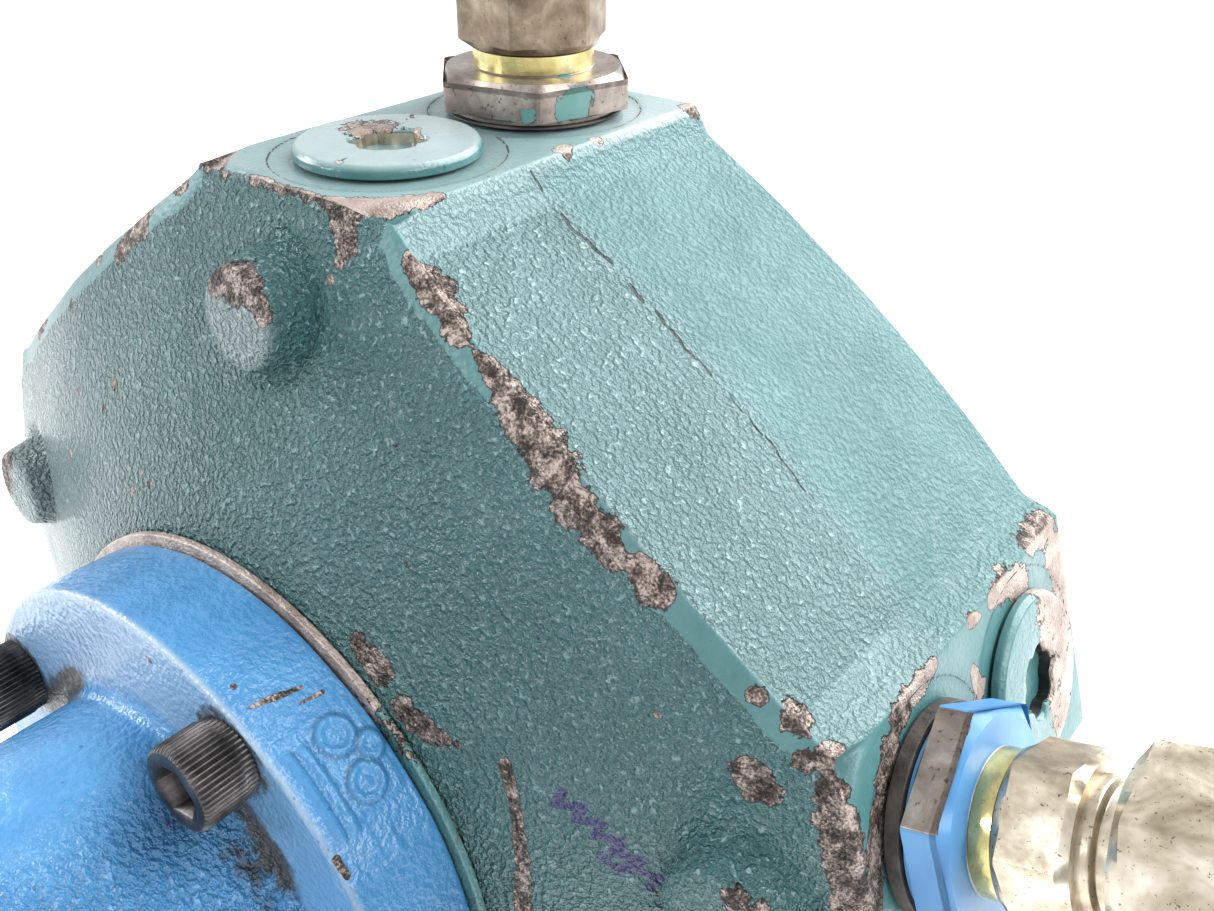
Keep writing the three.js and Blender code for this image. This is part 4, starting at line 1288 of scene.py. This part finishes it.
def build_lantern():
    draw = np.random.default_rng(SEED + 3)
    points, faces = revolve(lantern_outline(), 192)
    obj = make_object("lantern_skin", place_input(points), faces, "teal_paint",
                      ["input_lantern"], sharp=0)
    cutters = [window_cutter(k * pi / 2) for k in range(4)]
    for k in range(4):
        turn = pi / 4 + k * pi / 2
        cutters.append(hole_cutter(0.006, 0.0825, turn, -0.01, 0.03))
        cutters.append(hole_cutter(0.0058, 0.056, turn, 0.095, 0.135))
    bpy.context.view_layer.update()
    carve(obj, cutters)
    obj.data.shade_smooth()
    obj.data.set_sharp_from_angle(angle=radians(35))
    obj.data.materials.clear()
    obj.data.materials.append(TEAL)
    chains = []
    for _ in range(22):
        t = draw.uniform(0, 2 * pi)
        r, z = [(99.5, 15.5 - AXIS_Z), (99.6, 1 - AXIS_Z), (74.5, 60 - AXIS_Z)][draw.choice(3)]
        reach = t + draw.uniform(-0.08, 0.08)
        chains.append([((r * cos(t), r * sin(t), z), draw.uniform(0.8, 2.6)),
                       ((r * cos(reach), r * sin(reach), z), draw.uniform(0.6, 2.0))])
    wear_fields(obj, chains, 0.3)
    for i in range(4):
        socket_screw(f"lantern_cap_screw_{i + 1}", f"lantern_screw_{i + 1}",
                     place_lantern_screw(45 + 90 * i), 8.0, 0.0, 10.0, 8.0, 5.0, 30.0)


# ---- keys ------------------------------------------------------------------------
def bevelled_block(name, node, body, size, centre, width):
    bpy.ops.mesh.primitive_cube_add(size=1)
    obj = bpy.context.object
    obj.name = name
    shape = bmesh.new()
    shape.from_mesh(obj.data)
    for v in shape.verts:
        v.co = Vector((v.co[k] * size[k] + centre[k] for k in range(3))) * MM
    bmesh.ops.bevel(shape, geom=shape.edges[:], offset=width * MM, segments=2, profile=0.5,
                    affect="EDGES")
    shape.to_mesh(obj.data)
    shape.free()
    obj.data.shade_smooth()
    obj.data.set_sharp_from_angle(angle=radians(35))
    obj.data.materials.append(STEEL)
    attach(obj, body)
    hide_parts(node)


def build_keys():
    bevelled_block("output_key_steel", "output_key", "output_rotor", (12, 41.4, 8),
                   (0, -179, AXIS_Z + 19.3), 0.4)
    bevelled_block("input_key_steel", "input_key", "input_rotor", (8, 6.6, 41.4),
                   (0, 13.6, AXIS_Z - 222), 0.3)


# ---- camera, floor and light -----------------------------------------------------
CAMERA_PLACE = Vector((0.1890, -0.1931, 0.4844))
CAMERA_FORWARD = Vector((-0.526, 0.681, -0.509)).normalized()
CAMERA_RIGHT = Vector((0.789, 0.615, 0.007))
LENS = 36.4


def build_camera():
    right = (CAMERA_RIGHT - CAMERA_FORWARD * CAMERA_RIGHT.dot(CAMERA_FORWARD)).normalized()
    up = right.cross(CAMERA_FORWARD)
    camera = bpy.data.objects.new("camera", bpy.data.cameras.new("camera"))
    camera.matrix_world = Matrix((
        (right.x, up.x, -CAMERA_FORWARD.x, CAMERA_PLACE.x),
        (right.y, up.y, -CAMERA_FORWARD.y, CAMERA_PLACE.y),
        (right.z, up.z, -CAMERA_FORWARD.z, CAMERA_PLACE.z), (0, 0, 0, 1)))
    camera.data.sensor_width = 36.0
    camera.data.lens = LENS
    camera.data.clip_start = 0.01
    bpy.context.scene.collection.objects.link(camera)
    bpy.context.scene.camera = camera


def area_light(name, place, target, size, energy, colour=(1, 1, 1)):
    light = bpy.data.lights.new(name, "AREA")
    light.shape = "DISK"
    light.size = size
    light.energy = energy
    light.color = colour
    obj = bpy.data.objects.new(name, light)
    obj.location = place
    obj.rotation_mode = "QUATERNION"
    obj.rotation_quaternion = (Vector(target) - Vector(place)).to_track_quat("-Z", "Y")
    bpy.context.scene.collection.objects.link(obj)


def build_stage():
    n = Nodes("pale_floor")
    n.finish(n.curve(n.noise(3, 2.0), (0.3, (0.93, 0.93, 0.93)), (0.7, (0.96, 0.96, 0.96))), 0.8, 0.0)
    n.shader.inputs["Emission Color"].default_value = (1, 1, 1, 1)
    n.shader.inputs["Emission Strength"].default_value = 0.18
    bpy.ops.mesh.primitive_plane_add(size=12, location=(0, 0, CAD_BOUNDS[0].z - 0.0002))
    floor = bpy.context.object
    floor.name = "floor"
    floor.data.materials.append(n.material)
    world = bpy.data.worlds.new("studio")
    world.use_nodes = True
    world.node_tree.nodes["Background"].inputs["Color"].default_value = (1, 1, 1, 1)
    world.node_tree.nodes["Background"].inputs["Strength"].default_value = 1.0
    bpy.context.scene.world = world
    centre = (0.03, -0.03, 0.33)
    area_light("key", (0.45, 0.95, 1.20), centre, 1.7, 52)
    area_light("upper_right", (1.05, -0.10, 1.05), centre, 0.7, 8)
    area_light("left_front", (-1.25, -0.45, 0.85), centre, 0.6, 13, (0.95, 0.98, 1))
    area_light("fleck", (-0.57, -1.0, 0.75), centre, 0.25, 5)
    bpy.context.scene.view_settings.view_transform = "Standard"


finish_cad_nodes()
build_camera()
build_stage()
build_housing()
build_flange()
build_screws_and_shim()
build_plugs()
build_fittings()
build_rear()
build_lantern()
build_keys()
